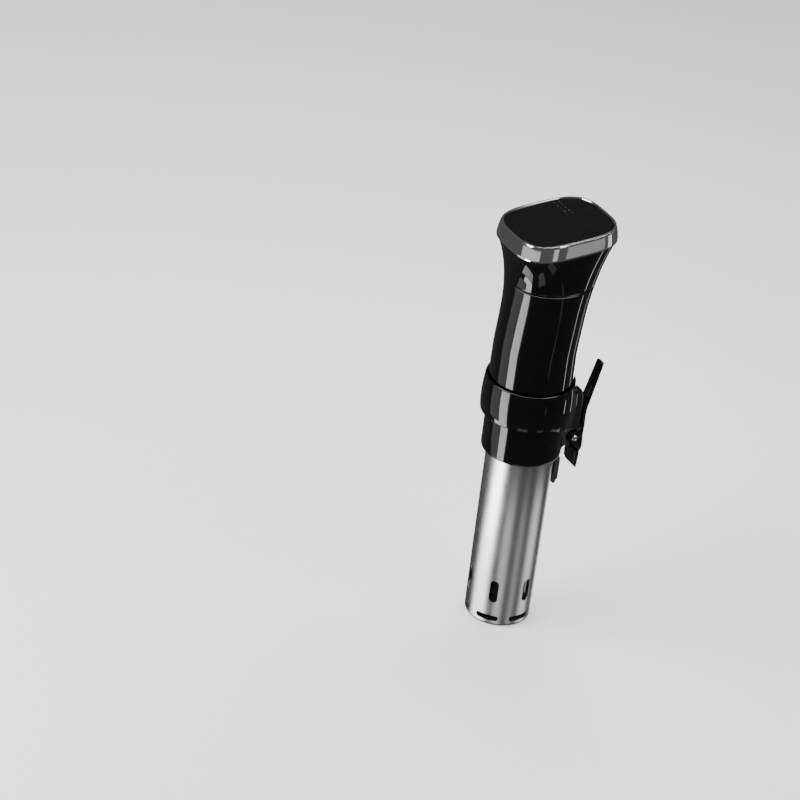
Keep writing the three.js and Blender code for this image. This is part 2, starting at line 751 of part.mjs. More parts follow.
const wetParts = groupOf(
  pumpPlate(),
  ...around(GUIDES.count, GUIDES.first, guideRod),
  heaterCoil(),
  ...PROBES.rods.map(probe),
  bulkhead(),
  sleeveSeal(),
  shaftSleeve("shaft_seal", "rubber", SHAFT_SEAL),
  shaftSleeve("shaft_bush", "aluminium", SHAFT_BUSH),
);

const motor = groupOf(
  motorMount(),
  ...around(SCREWS.count, SCREWS.first, motorScrew),
  motorEndPlate(),
  motorCan(),
  motorMagnet(),
);

const head = groupOf(
  headShell(),
  chromeBezel(),
  named("display_window", "panelBlack", headPlate(0.897, 9.9, 11.9)),
  named("window_gasket", "rubber", headFrame(0.892, 0.81, 8.9, 9.6)),
  named("touch_board", "boardGreen", headPlate(0.79, 6.9, 8.3)),
  displayModule(),
);

const body = groupOf(bodyShell(), cordGland(), boardCarrier(), controlBoard(), ...boardParts());

const circulator = groupOf(sleeve, wetParts, motor, body, head, clamp, lever, rotor);
circulator.position.set(0, -JAW.padFace, -PADS.z);

export default circulator;
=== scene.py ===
import math

import bmesh
import bpy
from mathutils import Matrix, Vector


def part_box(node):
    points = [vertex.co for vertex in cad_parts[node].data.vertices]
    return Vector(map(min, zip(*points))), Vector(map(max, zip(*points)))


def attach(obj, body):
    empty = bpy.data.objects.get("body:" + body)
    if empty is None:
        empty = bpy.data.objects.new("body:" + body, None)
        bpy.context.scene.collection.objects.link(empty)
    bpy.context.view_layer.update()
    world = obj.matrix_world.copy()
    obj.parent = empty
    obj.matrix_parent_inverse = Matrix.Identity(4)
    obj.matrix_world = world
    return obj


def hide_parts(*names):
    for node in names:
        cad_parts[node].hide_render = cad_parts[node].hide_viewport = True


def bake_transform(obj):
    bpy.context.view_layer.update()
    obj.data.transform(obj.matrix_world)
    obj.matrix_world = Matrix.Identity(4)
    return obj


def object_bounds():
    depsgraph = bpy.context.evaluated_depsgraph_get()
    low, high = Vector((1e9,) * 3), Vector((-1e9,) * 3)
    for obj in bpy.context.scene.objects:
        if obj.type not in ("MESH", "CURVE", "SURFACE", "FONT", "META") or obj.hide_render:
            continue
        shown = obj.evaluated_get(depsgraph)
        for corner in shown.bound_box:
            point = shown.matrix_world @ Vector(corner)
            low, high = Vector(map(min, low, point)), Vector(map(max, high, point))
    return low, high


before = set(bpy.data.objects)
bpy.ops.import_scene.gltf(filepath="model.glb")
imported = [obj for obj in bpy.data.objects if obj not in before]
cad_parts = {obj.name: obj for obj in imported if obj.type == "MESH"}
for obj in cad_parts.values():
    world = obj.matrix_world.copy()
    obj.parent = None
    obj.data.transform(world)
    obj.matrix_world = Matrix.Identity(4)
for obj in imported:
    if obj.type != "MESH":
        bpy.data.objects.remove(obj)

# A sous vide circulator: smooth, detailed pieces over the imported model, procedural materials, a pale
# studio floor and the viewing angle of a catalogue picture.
#
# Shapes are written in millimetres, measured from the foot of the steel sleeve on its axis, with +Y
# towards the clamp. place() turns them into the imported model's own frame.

CAD_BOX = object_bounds()

# ---- where things are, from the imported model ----

MM = 0.001
sleeve_low, sleeve_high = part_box("steel_sleeve")
ORIGIN = Vector((0, (sleeve_low.y + sleeve_high.y) / 2, sleeve_low.z))


def place(x, y, z):
    return ORIGIN + Vector((x, y, z)) * MM


def extent(node):
    """The lowest and highest corner of a CAD node, in millimetres from the sleeve's foot."""
    low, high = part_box(node)
    return (low - ORIGIN) / MM, (high - ORIGIN) / MM


def foot_and_top(node):
    low, high = extent(node)
    return low.z, high.z


SLEEVE_RADIUS = extent("steel_sleeve")[1].x
SLEEVE_WALL = 0.8
SLEEVE_FOOT_TOP = 5  # where the rounded foot becomes a straight wall
FOOT_HOLE = extent("end_cap")[1].x - 0.3
BODY_BOTTOM = extent("body_shell")[0].z
SEAM = foot_and_top("body_shell")[1] + 0.4
LOW_RADIUS = 33.7
BODY_RADIUS = 35
TOP_RADIUS = 34.7
BODY_BORE = 31.4
MOUTH_RADIUS = 29.2
MOUTH_TOP = BODY_BOTTOM + 5

RING_TOP = foot_and_top("clamp_ring")[1]
RING_BOTTOM = RING_TOP - 32.5
RING_BORE = 34.1
LUG_BOTTOM = foot_and_top("clamp_ring")[0]
LUG_FRONT = extent("clamp_ring")[1].y
LUG_HALF_WIDTH = 16
LUG_START = 3
LUG_TOP = RING_TOP - 20
LUG_SHOULDER = RING_TOP - 12
LUG_SETBACK = 4  # how far the lug leans back between its top and its shoulder
LUG_ROOT = 37.6  # distance from the axis where the lug's sides leave the band
LEDGE_FALL = 9.6  # how steeply the lug ends above its shoulder
BULGE_RADIUS = 39
BULGE_Z = RING_TOP - 23

pin_low, pin_high = extent("pivot_pin")
PIN_Y = (pin_low.y + pin_high.y) / 2
PIN_Z = (pin_low.z + pin_high.z) / 2
PIN_HALF = pin_high.x
PIN_RADIUS = 2
PIN_HEAD = 2.7

HEAD_HALF_X = 38.6
HEAD_HALF_Y = 44.6
HEAD_ROUNDNESS = 3.3
HEAD_SHIFT = 5.2
HEAD_SLOPE = math.tan(math.radians(6))
RIM = SEAM + 37
FLARE_START = 285
FLARE_POWER = 2.5
LEAN_START = 262

# ---- building meshes ----


def object_of(name, mesh):
    obj = bpy.data.objects.new(name, mesh)
    bpy.context.scene.collection.objects.link(obj)
    return obj


def skin(name, loops, close_loops=True, close_ends=False, caps=False):
    """A skin of quads through equally long loops of points in millimetres."""
    bm = bmesh.new()
    rows = [[bm.verts.new(place(*point)) for point in loop] for loop in loops]
    across = len(rows[0]) if close_loops else len(rows[0]) - 1
    along = len(rows) if close_ends else len(rows) - 1
    for i in range(along):
        here, after = rows[i], rows[(i + 1) % len(rows)]
        for j in range(across):
            k = (j + 1) % len(here)
            bm.faces.new((here[j], here[k], after[k], after[j]))
    if caps:
        bm.faces.new(rows[0])
        bm.faces.new(rows[-1])
    bmesh.ops.remove_doubles(bm, verts=bm.verts, dist=1e-7)
    bmesh.ops.recalc_face_normals(bm, faces=bm.faces)
    mesh = bpy.data.meshes.new(name)
    bm.to_mesh(mesh)
    bm.free()
    return object_of(name, mesh)


def rounded(corners, closed=True, steps=4):
    """A polyline through (x, y, radius) corners: each corner with a radius becomes a curve."""
    points = []
    for i, corner in enumerate(corners):
        here = Vector(corner[:2])
        end = not closed and i in (0, len(corners) - 1)
        if len(corner) < 3 or end:
            points.append(tuple(here))
            continue
        before = Vector(corners[i - 1][:2]) - here
        after = Vector(corners[(i + 1) % len(corners)][:2]) - here
        reach = min(corner[2], 0.49 * before.length, 0.49 * after.length)
        start = here + before.normalized() * reach
        stop = here + after.normalized() * reach
        for k in range(steps + 1):
            t = k / steps
            points.append(tuple(start * (1 - t) ** 2 + here * 2 * t * (1 - t) + stop * t * t))
    return points


def full_turn(count):
    """Angles at equal steps round a circle, in radians."""
    return [2 * math.pi * k / count for k in range(count)]


def swept(profile, segments, point):
    """A profile of (radius, height) pairs taken round once; point() puts each turned point in place."""
    return [[point(r * math.cos(a), r * math.sin(a), h) for r, h in profile] for a in full_turn(segments)]


def unchanged(x, y, z):
    return x, y, z


def lathe(name, profile, segments=96, warp=unchanged, centre=(0, 0)):
    """A profile of (radius, z) pairs turned about the vertical; it closes itself off the axis."""
    loops = swept(profile, segments, lambda x, y, z: warp(x + centre[0], y + centre[1], z))
    return skin(name, loops, close_loops=profile[0][0] > 0, close_ends=True)


def slab(name, outline, half_width, section_radius=0.8, centre_x=0):
    """An outline of (y, z) pairs drawn along X, its long edges rounded."""
    bm = bmesh.new()
    for x in (-half_width, half_width):
        bm.faces.new([bm.verts.new(place(centre_x + x, y, z)) for y, z in outline])
    bm.verts.ensure_lookup_table()
    count = len(outline)
    for j in range(count):
        k = (j + 1) % count
        bm.faces.new((bm.verts[j], bm.verts[k], bm.verts[count + k], bm.verts[count + j]))
    bmesh.ops.recalc_face_normals(bm, faces=bm.faces)
    mesh = bpy.data.meshes.new(name)
    bm.to_mesh(mesh)
    bm.free()
    obj = object_of(name, mesh)
    if section_radius:
        bevel(obj, section_radius, segments=4, angle=50)
    return obj


def tube(name, points, radius, sides=16):
    """A round bar along a line of points in millimetres, with softly closed ends."""
    path = [Vector(p) for p in points]
    padded = [path[0], *path, path[-1]]
    tangents = [(after - before).normalized() for before, after in zip(padded, padded[2:])]
    side = tangents[0].orthogonal().normalized()
    loops = []
    for i, (point, tangent) in enumerate(zip(path, tangents)):
        side = (side - tangent * side.dot(tangent)).normalized()
        other = tangent.cross(side)
        ring = [side * math.cos(a) + other * math.sin(a) for a in full_turn(sides)]
        sizes = [(0, radius)]
        if i == 0:
            sizes = [(-0.5, 0.4 * radius), (-0.35, 0.8 * radius), (0, radius)]
        if i == len(path) - 1:
            sizes = [(0, radius), (0.35, 0.8 * radius), (0.5, 0.4 * radius)]
        for shift, size in sizes:
            loops.append([point + tangent * shift * radius * 0.5 + v * size for v in ring])
    return skin(name, loops, caps=True)


def smooth_path(rows, steps):
    """A Catmull-Rom curve through rows of any number of values."""
    rows = [Vector(row) for row in rows]
    padded = [rows[0], *rows, rows[-1]]
    path = []
    for a, b, c, d in zip(padded, padded[1:], padded[2:], padded[3:]):
        for k in range(steps):
            t = k / steps
            bend = (2 * a - 5 * b + 4 * c - d) * t * t + (3 * b - a - 3 * c + d) * t ** 3
            path.append(0.5 * (2 * b + (c - a) * t + bend))
    return path + [rows[-1]]


def apply_modifiers(obj):
    evaluated = obj.evaluated_get(bpy.context.evaluated_depsgraph_get())
    mesh = bpy.data.meshes.new_from_object(evaluated)
    mesh.name = obj.name
    obj.modifiers.clear()
    obj.data = mesh


def bevel(obj, width, segments=3, angle=35):
    """Rounds the edges sharper than an angle, in millimetres and degrees."""
    modifier = obj.modifiers.new("round", "BEVEL")
    modifier.width = width * MM
    modifier.segments = segments
    modifier.limit_method = "ANGLE"
    modifier.angle_limit = math.radians(angle)
    apply_modifiers(obj)


def combine(obj, others, operation):
    """Joins the other objects to obj, or cuts them out of it, and removes them."""
    for other in others:
        modifier = obj.modifiers.new(operation, "BOOLEAN")
        modifier.operation = operation
        modifier.solver = "EXACT"
        modifier.object = other
    apply_modifiers(obj)
    for other in others:
        bpy.data.objects.remove(other)


def merged(name, objects):
    """One object made of several that don't touch."""
    bm = bmesh.new()
    for obj in objects:
        bm.from_mesh(obj.data)
        bpy.data.objects.remove(obj)
    mesh = bpy.data.meshes.new(name)
    bm.to_mesh(mesh)
    bm.free()
    return object_of(name, mesh)


def turned_copies(obj, count, first=0):
    """Copies of obj at equal steps round the sleeve's axis, in its place."""
    copies = []
    for i in range(count):
        copy = object_of(obj.name, obj.data.copy())
        angle = math.radians(first + 360 * i / count)
        turn = Matrix.Translation(ORIGIN) @ Matrix.Rotation(angle, 4, "Z") @ Matrix.Translation(-ORIGIN)
        copy.data.transform(turn)
        copies.append(copy)
    bpy.data.objects.remove(obj)
    return copies


def slot_cutter(length, width, z, radius, upright, depth=12):
    """A round-ended bar through a wall at +X."""
    half = (length - width) / 2
    outline = []
    for k in range(25):
        angle = math.radians(-90 + 180 * k / 24)
        outline.append((half + width / 2 * math.cos(angle), width / 2 * math.sin(angle)))
    outline += [(-a, -b) for a, b in outline]
    if upright:
        outline = [(-b, a) for a, b in outline]
    loops = [[(x, a, z + b) for a, b in outline] for x in (radius - depth / 2, radius + depth / 2)]
    return skin("cutter", loops, caps=True)


def drill(radius, node, centre):
    """An upright cutter right through the height of a CAD node."""
    low, high = foot_and_top(node)
    profile = [(0, low - 1), (radius, low - 1), (radius, high + 1), (0, high + 1)]
    return lathe("drill", profile, 32, centre=centre)


def shade(obj, angle=30):
    """Smooth shading in which a large face isn't bent by the small ones beside it."""
    obj.data.shade_smooth()
    obj.data.set_sharp_from_angle(angle=math.radians(angle))
    modifier = obj.modifiers.new("even_normals", "WEIGHTED_NORMAL")
    modifier.keep_sharp = True
    modifier.weight = 100
    apply_modifiers(obj)


def finished(obj, look, body, slot, *nodes, angle=30):
    """Gives a piece its shading, its material and its CAD body, and hides the CAD nodes it stands for."""
    shade(obj, angle)
    obj.data.materials.clear()
    obj.data.materials.append(look)
    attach(obj, body)
    if nodes:
        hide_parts(*nodes)


# ---- materials ----


class Look:
    """A procedural material, built up from noise in the model's own metres."""

    def __init__(self, name, **constants):
        self.material = bpy.data.materials.new(name)
        self.material.use_nodes = True
        self.tree = self.material.node_tree
        self.shader = self.tree.nodes["Principled BSDF"]
        for socket, value in constants.items():
            self.shader.inputs[socket.replace("_", " ")].default_value = value
        self.coordinates = self.node("ShaderNodeTexCoord").outputs["Object"]

    def node(self, kind, **settings):
        made = self.tree.nodes.new(kind)
        for key, value in settings.items():
            setattr(made, key, value)
        return made

    def link(self, source, target):
        self.tree.links.new(source, target)

    def stretched(self, scale):
        mapping = self.node("ShaderNodeMapping")
        mapping.inputs["Scale"].default_value = scale
        self.link(self.coordinates, mapping.inputs["Vector"])
        return mapping.outputs["Vector"]

    def noise(self, per_metre, detail=3, roughness=0.5, stretch=(1, 1, 1)):
        texture = self.node("ShaderNodeTexNoise")
        texture.inputs["Scale"].default_value = per_metre
        texture.inputs["Detail"].default_value = detail
        texture.inputs["Roughness"].default_value = roughness
        self.link(self.stretched(stretch), texture.inputs["Vector"])
        return texture.outputs["Fac"]

    def edges(self):
        """Painted highlight: white along convex edges, from the mesh's pointiness."""
        # painted highlight: this mask lightens the colour on every convex edge, whatever the lighting
        return self.ranged(self.node("ShaderNodeNewGeometry").outputs["Pointiness"], 0.52, 0.6, 0, 1)

    def ranged(self, value, from_low, from_high, to_low, to_high):
        node = self.node("ShaderNodeMapRange")
        for socket, number in zip(
            ("From Min", "From Max", "To Min", "To Max"), (from_low, from_high, to_low, to_high)
        ):
            node.inputs[socket].default_value = number
        self.link(value, node.inputs["Value"])
        return node.outputs["Result"]

    def math(self, operation, a, b):
        node = self.node("ShaderNodeMath", operation=operation)
        for socket, value in zip(node.inputs, (a, b)):
            if isinstance(value, (int, float)):
                socket.default_value = value
            else:
                self.link(value, socket)
        return node.outputs[0]

    def colour(self, factor, dark, light):
        node = self.node("ShaderNodeMix", data_type="RGBA")
        self.link(factor, node.inputs["Factor"])
        node.inputs[6].default_value = (*dark, 1)
        node.inputs[7].default_value = (*light, 1)
        self.link(node.outputs[2], self.shader.inputs["Base Color"])

    def roughness(self, value):
        self.link(value, self.shader.inputs["Roughness"])

    def bump(self, height, strength, depth_mm):
        node = self.node("ShaderNodeBump")
        node.inputs["Strength"].default_value = strength
        node.inputs["Distance"].default_value = depth_mm * MM
        self.link(height, node.inputs["Height"])
        self.link(node.outputs["Normal"], self.shader.inputs["Normal"])


def gloss_black():
    """Polished moulded plastic: orange peel, faint smears, and a painted highlight that lightens its edges.
    """
    look = Look("gloss_black", Specular_IOR_Level=0.36)
    # painted highlight: the colour lightens along convex edges through the edges() mask
    look.colour(look.edges(), (0.0022, 0.0022, 0.0026), (0.009, 0.009, 0.01))
    smears = look.noise(55, detail=5, stretch=(1, 1, 0.35))
    hairlines = look.noise(900, detail=2, stretch=(1, 1, 0.04))
    base = look.ranged(smears, 0.35, 0.75, 0.035, 0.085)
    look.roughness(look.math("ADD", base, look.ranged(hairlines, 0.62, 0.75, 0, 0.05)))
    look.bump(look.noise(420, detail=1), 0.1, 0.004)
    return look.material


def panel_black():
    """The printed back of a clear touch window, with finger marks."""
    look = Look("panel_black", Specular_IOR_Level=0.36)
    look.colour(look.noise(30), (0.0018, 0.0019, 0.0026), (0.0032, 0.0034, 0.0046))
    prints = look.noise(140, detail=6, roughness=0.62)
    look.roughness(look.ranged(prints, 0.45, 0.8, 0.03, 0.16))
    look.bump(look.noise(90, detail=1), 0.05, 0.01)
    return look.material


def matte_black(name="matte_black", light=0.016):
    """Moulded plastic with a spark-eroded grain."""
    look = Look(name, Specular_IOR_Level=0.45)
    # painted highlight: the colour lightens along convex edges through the edges() mask
    look.colour(look.edges(), (light * 0.75, light * 0.75, light * 0.8), (light * 2, light * 2, light * 2.1))
    look.roughness(look.ranged(look.noise(120, detail=4), 0.3, 0.7, 0.42, 0.58))
    look.bump(look.noise(2600, detail=3, roughness=0.7), 0.35, 0.03)
    return look.material


def chrome():
    """Bright plated trim, with the finest polishing haze."""
    look = Look("chrome", Metallic=1.0)
    look.colour(look.noise(40), (0.74, 0.745, 0.76), (0.8, 0.8, 0.81))
    look.roughness(look.ranged(look.noise(90, detail=5), 0.3, 0.8, 0.05, 0.11))
    look.bump(look.noise(300, detail=1), 0.04, 0.004)
    return look.material


def brushed_steel(name="brushed_steel", lengthwise=False, colour=(0.56, 0.55, 0.53), rough=0.24):
    """Stainless steel brushed round or along the vertical, with faint water marks."""
    look = Look(name, Metallic=1.0, Anisotropic=0.65)
    stretch = (1, 1, 0.012) if lengthwise else (0.012, 0.012, 1)
    fine = look.noise(2200, detail=2, roughness=0.5, stretch=stretch)
    coarse = look.noise(500, detail=2, stretch=stretch)
    brush = look.math("ADD", look.math("MULTIPLY", fine, 0.6), look.math("MULTIPLY", coarse, 0.4))
    dark = tuple(0.93 * c for c in colour)
    look.colour(brush, dark, colour)
    streaks = look.ranged(fine, 0.3, 0.7, rough - 0.015, rough + 0.02)
    water_marks = look.ranged(look.noise(60, detail=5), 0.4, 0.8, 0, 0.025)
    look.roughness(look.math("ADD", streaks, water_marks))
    look.bump(fine, 0.02, 0.002)
    tangent = look.node("ShaderNodeTangent", direction_type="RADIAL", axis="Z")
    look.link(tangent.outputs["Tangent"], look.shader.inputs["Tangent"])
    return look.material


def rubber():
    """Dull moulded rubber with a dusty bloom."""
    look = Look("rubber", Specular_IOR_Level=0.3)
    look.colour(look.noise(160, detail=6, roughness=0.7), (0.012, 0.012, 0.012), (0.03, 0.03, 0.031))
    look.roughness(look.ranged(look.noise(300, detail=4), 0.3, 0.7, 0.68, 0.88))
    look.bump(look.noise(2200, detail=4, roughness=0.7), 0.5, 0.04)
    return look.material


def pale_nylon(name="pale_nylon", colour=(0.6, 0.57, 0.48)):
    """Natural nylon, mottled with glass fibre."""
    look = Look(name, Specular_IOR_Level=0.4, Subsurface_Weight=0.08)
    look.shader.inputs["Subsurface Radius"].default_value = (0.002, 0.0015, 0.001)
    fibres = look.noise(1500, detail=5, roughness=0.75, stretch=(1, 1, 0.2))
    look.colour(fibres, tuple(0.82 * c for c in colour), colour)
    look.roughness(look.ranged(fibres, 0.3, 0.7, 0.4, 0.6))
    look.bump(fibres, 0.25, 0.02)
    return look.material


def cast_aluminium(name="cast_aluminium", colour=(0.6, 0.61, 0.62), grain=900):
    """Die-cast or turned aluminium with a fine skin."""
    look = Look(name, Metallic=1.0)
    skin_noise = look.noise(grain, detail=5, roughness=0.65)
    look.colour(skin_noise, tuple(0.75 * c for c in colour), colour)
    look.roughness(look.ranged(skin_noise, 0.3, 0.7, 0.32, 0.5))
    look.bump(skin_noise, 0.3, 0.03)
    return look.material


def heater_sheath():
    """Annealed steel sheath, straw and blue where it has been hot."""
    look = Look("heater_sheath", Metallic=1.0)
    look.colour(look.noise(60, detail=4), (0.42, 0.36, 0.29), (0.5, 0.5, 0.49))
    look.roughness(look.ranged(look.noise(500, detail=5), 0.3, 0.7, 0.26, 0.42))
    look.bump(look.noise(1600, detail=3), 0.2, 0.01)
    return look.material


def copper_winding():
    """Enamelled wire laid in close turns."""
    look = Look("copper_winding", Metallic=1.0)
    wave = look.node("ShaderNodeTexWave", bands_direction="Z")
    wave.inputs["Scale"].default_value = 320
    wave.inputs["Distortion"].default_value = 0.6
    look.link(look.coordinates, wave.inputs["Vector"])
    look.colour(wave.outputs["Fac"], (0.3, 0.11, 0.05), (0.62, 0.27, 0.13))
    look.roughness(look.ranged(look.noise(400), 0.3, 0.7, 0.22, 0.36))
    look.bump(wave.outputs["Fac"], 0.6, 0.15)
    return look.material


def circuit_board():
    """Green solder mask over copper tracks and pads."""
    look = Look("circuit_board", Specular_IOR_Level=0.5)
    tracks = look.node("ShaderNodeTexBrick", offset=0.5)
    tracks.inputs["Scale"].default_value = 260
    tracks.inputs["Mortar Size"].default_value = 0.08
    look.link(look.coordinates, tracks.inputs["Vector"])
    look.colour(tracks.outputs["Fac"], (0.012, 0.07, 0.03), (0.03, 0.16, 0.07))
    look.roughness(look.ranged(look.noise(500), 0.3, 0.7, 0.25, 0.4))
    look.bump(tracks.outputs["Fac"], 0.4, 0.05)
    return look.material


def faint_print():
    """Grey screen print seen through the window."""
    look = Look("faint_print", Specular_IOR_Level=0.5)
    look.colour(look.noise(900, detail=4), (0.006, 0.0062, 0.0075), (0.012, 0.0125, 0.0145))
    look.roughness(look.ranged(look.noise(300), 0.3, 0.7, 0.2, 0.35))
    look.bump(look.noise(2500), 0.1, 0.005)
    return look.material


def floor_paint():
    """A pale studio sweep, very slightly mottled."""
    look = Look("floor_paint", Specular_IOR_Level=0.2)
    look.colour(look.noise(3, detail=4), (0.74, 0.74, 0.735), (0.77, 0.77, 0.765))
    look.roughness(look.ranged(look.noise(8), 0.3, 0.7, 0.75, 0.85))
    look.bump(look.noise(600), 0.03, 0.05)
    look.shader.inputs["Emission Color"].default_value = (1, 1, 1, 1)
    look.shader.inputs["Emission Strength"].default_value = 0.3
    return look.material


GLOSS = gloss_black()
PANEL = panel_black()
MATTE = matte_black()
CHROME = chrome()
STEEL = brushed_steel()
DRAWN_STEEL = brushed_steel("drawn_steel", lengthwise=True, colour=(0.6, 0.6, 0.59), rough=0.2)
RUBBER = rubber()
NYLON = pale_nylon()
CAST = cast_aluminium()

# ---- the head's shape ----


def share_between(z, start, stop):
    return min(1, max(0, (z - start) / (stop - start)))


def head_outline(angle):
    """Distance from the head's centre to its soft-cornered outline."""
    x = abs(math.cos(angle) / HEAD_HALF_X) ** HEAD_ROUNDNESS
    y = abs(math.sin(angle) / HEAD_HALF_Y) ** HEAD_ROUNDNESS
    return (x + y) ** (-1 / HEAD_ROUNDNESS)


def leaned(z):
    return HEAD_SHIFT * math.sin(share_between(z, LEAN_START, RIM) * math.pi / 2)


def flared(x, y, z):
    """Widens a turned point from the round body to the head's outline, leaning and tilting with it."""
    growth = share_between(z, FLARE_START, RIM) ** FLARE_POWER
    widened = 1 + growth * (head_outline(math.atan2(y, x)) / TOP_RADIUS - 1)
    y *= widened
    return x * widened, y + leaned(z), z + growth * HEAD_SLOPE * y


def head_piece(name, profile):
    """A turned piece of the head: the radii of its profile are shares of the head's outline."""
    scaled = [(share * TOP_RADIUS, RIM + z) for share, z in profile]
    return lathe(name, scaled, segments=240, warp=flared)


# ---- the sleeve and the wet parts ----

SLOT_COUNT = 6
SLOT_TURN = 17
OUTLET_TURN = 10
SLOT = dict(length=22, width=7.5, z=34.5, radius=SLEEVE_RADIUS, upright=True)
OUTLET = dict(length=20, width=5, z=7.2, radius=SLEEVE_RADIUS, upright=False)


def sleeve():
    top = foot_and_top("steel_sleeve")[1]
    inner = SLEEVE_RADIUS - SLEEVE_WALL
    levels = [SLEEVE_FOOT_TOP + (top - 2 - SLEEVE_FOOT_TOP) * i / 40 for i in range(41)]
    profile = rounded([
        (FOOT_HOLE, 0, 0.25),
        (SLEEVE_RADIUS, 0, 3.9),
        *((SLEEVE_RADIUS, z) for z in levels),
        (SLEEVE_RADIUS, top, 0.3),
        (inner, top, 0.3),
        *((inner, z) for z in reversed(levels)),
        (inner, SLEEVE_WALL, 3.1),
        (FOOT_HOLE, SLEEVE_WALL, 0.25),
    ], steps=6)
    tube_wall = lathe("sleeve", profile, segments=180)
    cuts = turned_copies(slot_cutter(**SLOT), SLOT_COUNT, SLOT_TURN)
    cuts += turned_copies(slot_cutter(**OUTLET), SLOT_COUNT, OUTLET_TURN)
    combine(tube_wall, [merged("cuts", cuts)], "DIFFERENCE")
    bevel(tube_wall, 0.22, segments=2, angle=50)
    finished(tube_wall, STEEL, "sleeve", "steel_sleeve", "steel_sleeve")


def end_cap():
    """A moulded cap with two shallow rings and a raised middle."""
    high = foot_and_top("end_cap")[1]
    plug = FOOT_HOLE - 0.05
    flange = FOOT_HOLE + 0.85
    profile = rounded([
        (0, 0.3),
        (3.2, 0.3, 0.2),
        (3.6, 0.6, 0.2),
        (4.6, 0.6, 0.2),
        (5, 0, 0.2),
        (15.5, 0, 0.2),
        (15.9, 0.5, 0.2),
        (17.6, 0.5, 0.2),
        (18, 0, 0.2),
        (plug - 0.3, 0, 0.3),
        (plug - 0.3, 1.1, 0.1),
        (flange, 1.1, 0.2),
        (flange, high, 0.4),
        (0, high),
    ], closed=False, steps=3)
    finished(lathe("closing_cap", profile), MATTE, "sleeve", "end_cap", "end_cap")


def pump_floor():
    """The plate above the impeller, with its five eyes and a stiffening rim."""
    low, high = extent("pump_plate")
    profile = rounded([
        (2.6, low.z, 0.2),
        (high.x, low.z, 0.5),
        (high.x, high.z, 0.5),
        (high.x - 1.8, high.z, 0.3),
        (high.x - 2.2, high.z - 0.8, 0.3),
        (15, high.z - 0.8, 0.4),
        (14.6, high.z, 0.3),
        (2.6, high.z, 0.3),
    ], steps=3)
    plate = lathe("pump_floor", profile)
    eye = drill(3.2, "pump_plate", (9.5, 0))
    combine(plate, [merged("eyes", turned_copies(eye, 5))], "DIFFERENCE")
    bevel(plate, 0.25, segments=2, angle=50)
    finished(plate, matte_black("wet_plastic", 0.02), "housing", "pump_plate", "pump_plate")


def upright_rod(name, node, look, slot, tip_radius=0.8, groove=0.0):
    """A vertical rod over a CAD one, with rounded tips and, for a guide, a clip groove near its foot."""
    low, high = extent(node)
    radius = (high.x - low.x) / 2
    centre = ((low.x + high.x) / 2, (low.y + high.y) / 2)
    corners = [(0, low.z), (radius, low.z, tip_radius)]
    if groove:
        corners += [
            (radius, low.z + 3),
            (radius - groove, low.z + 3.1),
            (radius - groove, low.z + 4.1),
            (radius, low.z + 4.2),
        ]
    corners += [(radius, high.z, tip_radius), (0, high.z)]
    rod = lathe(name, rounded(corners, closed=False), 32, centre=centre)
    finished(rod, look, "housing", slot, node)


HEATER_LEG = 9.2
COIL_RADIUS = 16.3


def heater():
    """One sheathed element: down the middle, up round a coil, and out through the bulkhead."""
    bottom, turns, pitch, start = 66, 4.5, 10, 30
    top = foot_and_top("heater_coil")[1]

    def at(distance, degrees, z):
        angle = math.radians(degrees)
        return Vector((distance * math.cos(angle), distance * math.sin(angle), z))

    steps = 12
    coil = [at(COIL_RADIUS, start + i * 360 / steps, bottom + i / steps * pitch)
            for i in range(int(turns * steps) + 1)]
    end = coil[-1]
    points = [
        Vector((HEATER_LEG, 0, top)),
        Vector((HEATER_LEG, 0, (top + bottom) / 2)),
        Vector((HEATER_LEG, 0, bottom + 9)),
        at(COIL_RADIUS - 2.6, start / 2, bottom + 0.8),
        *coil,
        Vector((end.x, end.y, end.z + 8)),
        Vector((end.x, end.y, top)),
    ]
    element = tube("heating_element", smooth_path(points, 5), 2.9, sides=20)
    finished(element, heater_sheath(), "housing", "heater", "heater_coil")


def impeller_wheel():
    """A hub and disc with six blades that curve back from the flow."""
    low, high = extent("impeller")
    disc_bottom, disc_top = 10.6, 12
    hub = lathe("impeller_wheel", rounded([
        (2.8, low.z, 0.3),
        (6, low.z, 0.6),
        (6, disc_bottom, 0.6),
        (high.x, disc_bottom, 0.3),
        (high.x, disc_top, 0.3),
        (7.2, disc_top, 1.0),
        (6, high.z, 0.5),
        (2.8, high.z, 0.3),
    ], steps=3))
    stations = 10
    loops = []
    for i in range(stations + 1):
        t = i / stations
        distance = 4.6 + t * (high.x - 5.2)
        angle = math.radians(8 + 34 * t * t)
        x, y = distance * math.cos(angle), distance * math.sin(angle)
        side = Vector((-math.sin(angle + 0.5 * t), math.cos(angle + 0.5 * t))) * 0.8
        foot, root = low.z + 0.3, disc_bottom + 0.6
        section = rounded([(-1, foot, 0.35), (1, foot, 0.35), (1, root), (-1, root)])
        loops.append([(x + side.x * a, y + side.y * a, z) for a, z in section])
    blade = skin("blade", loops, caps=True)
    combine(hub, turned_copies(blade, 6), "UNION")
    finished(hub, matte_black("impeller_plastic", 0.018), "rotor", "impeller", "impeller")


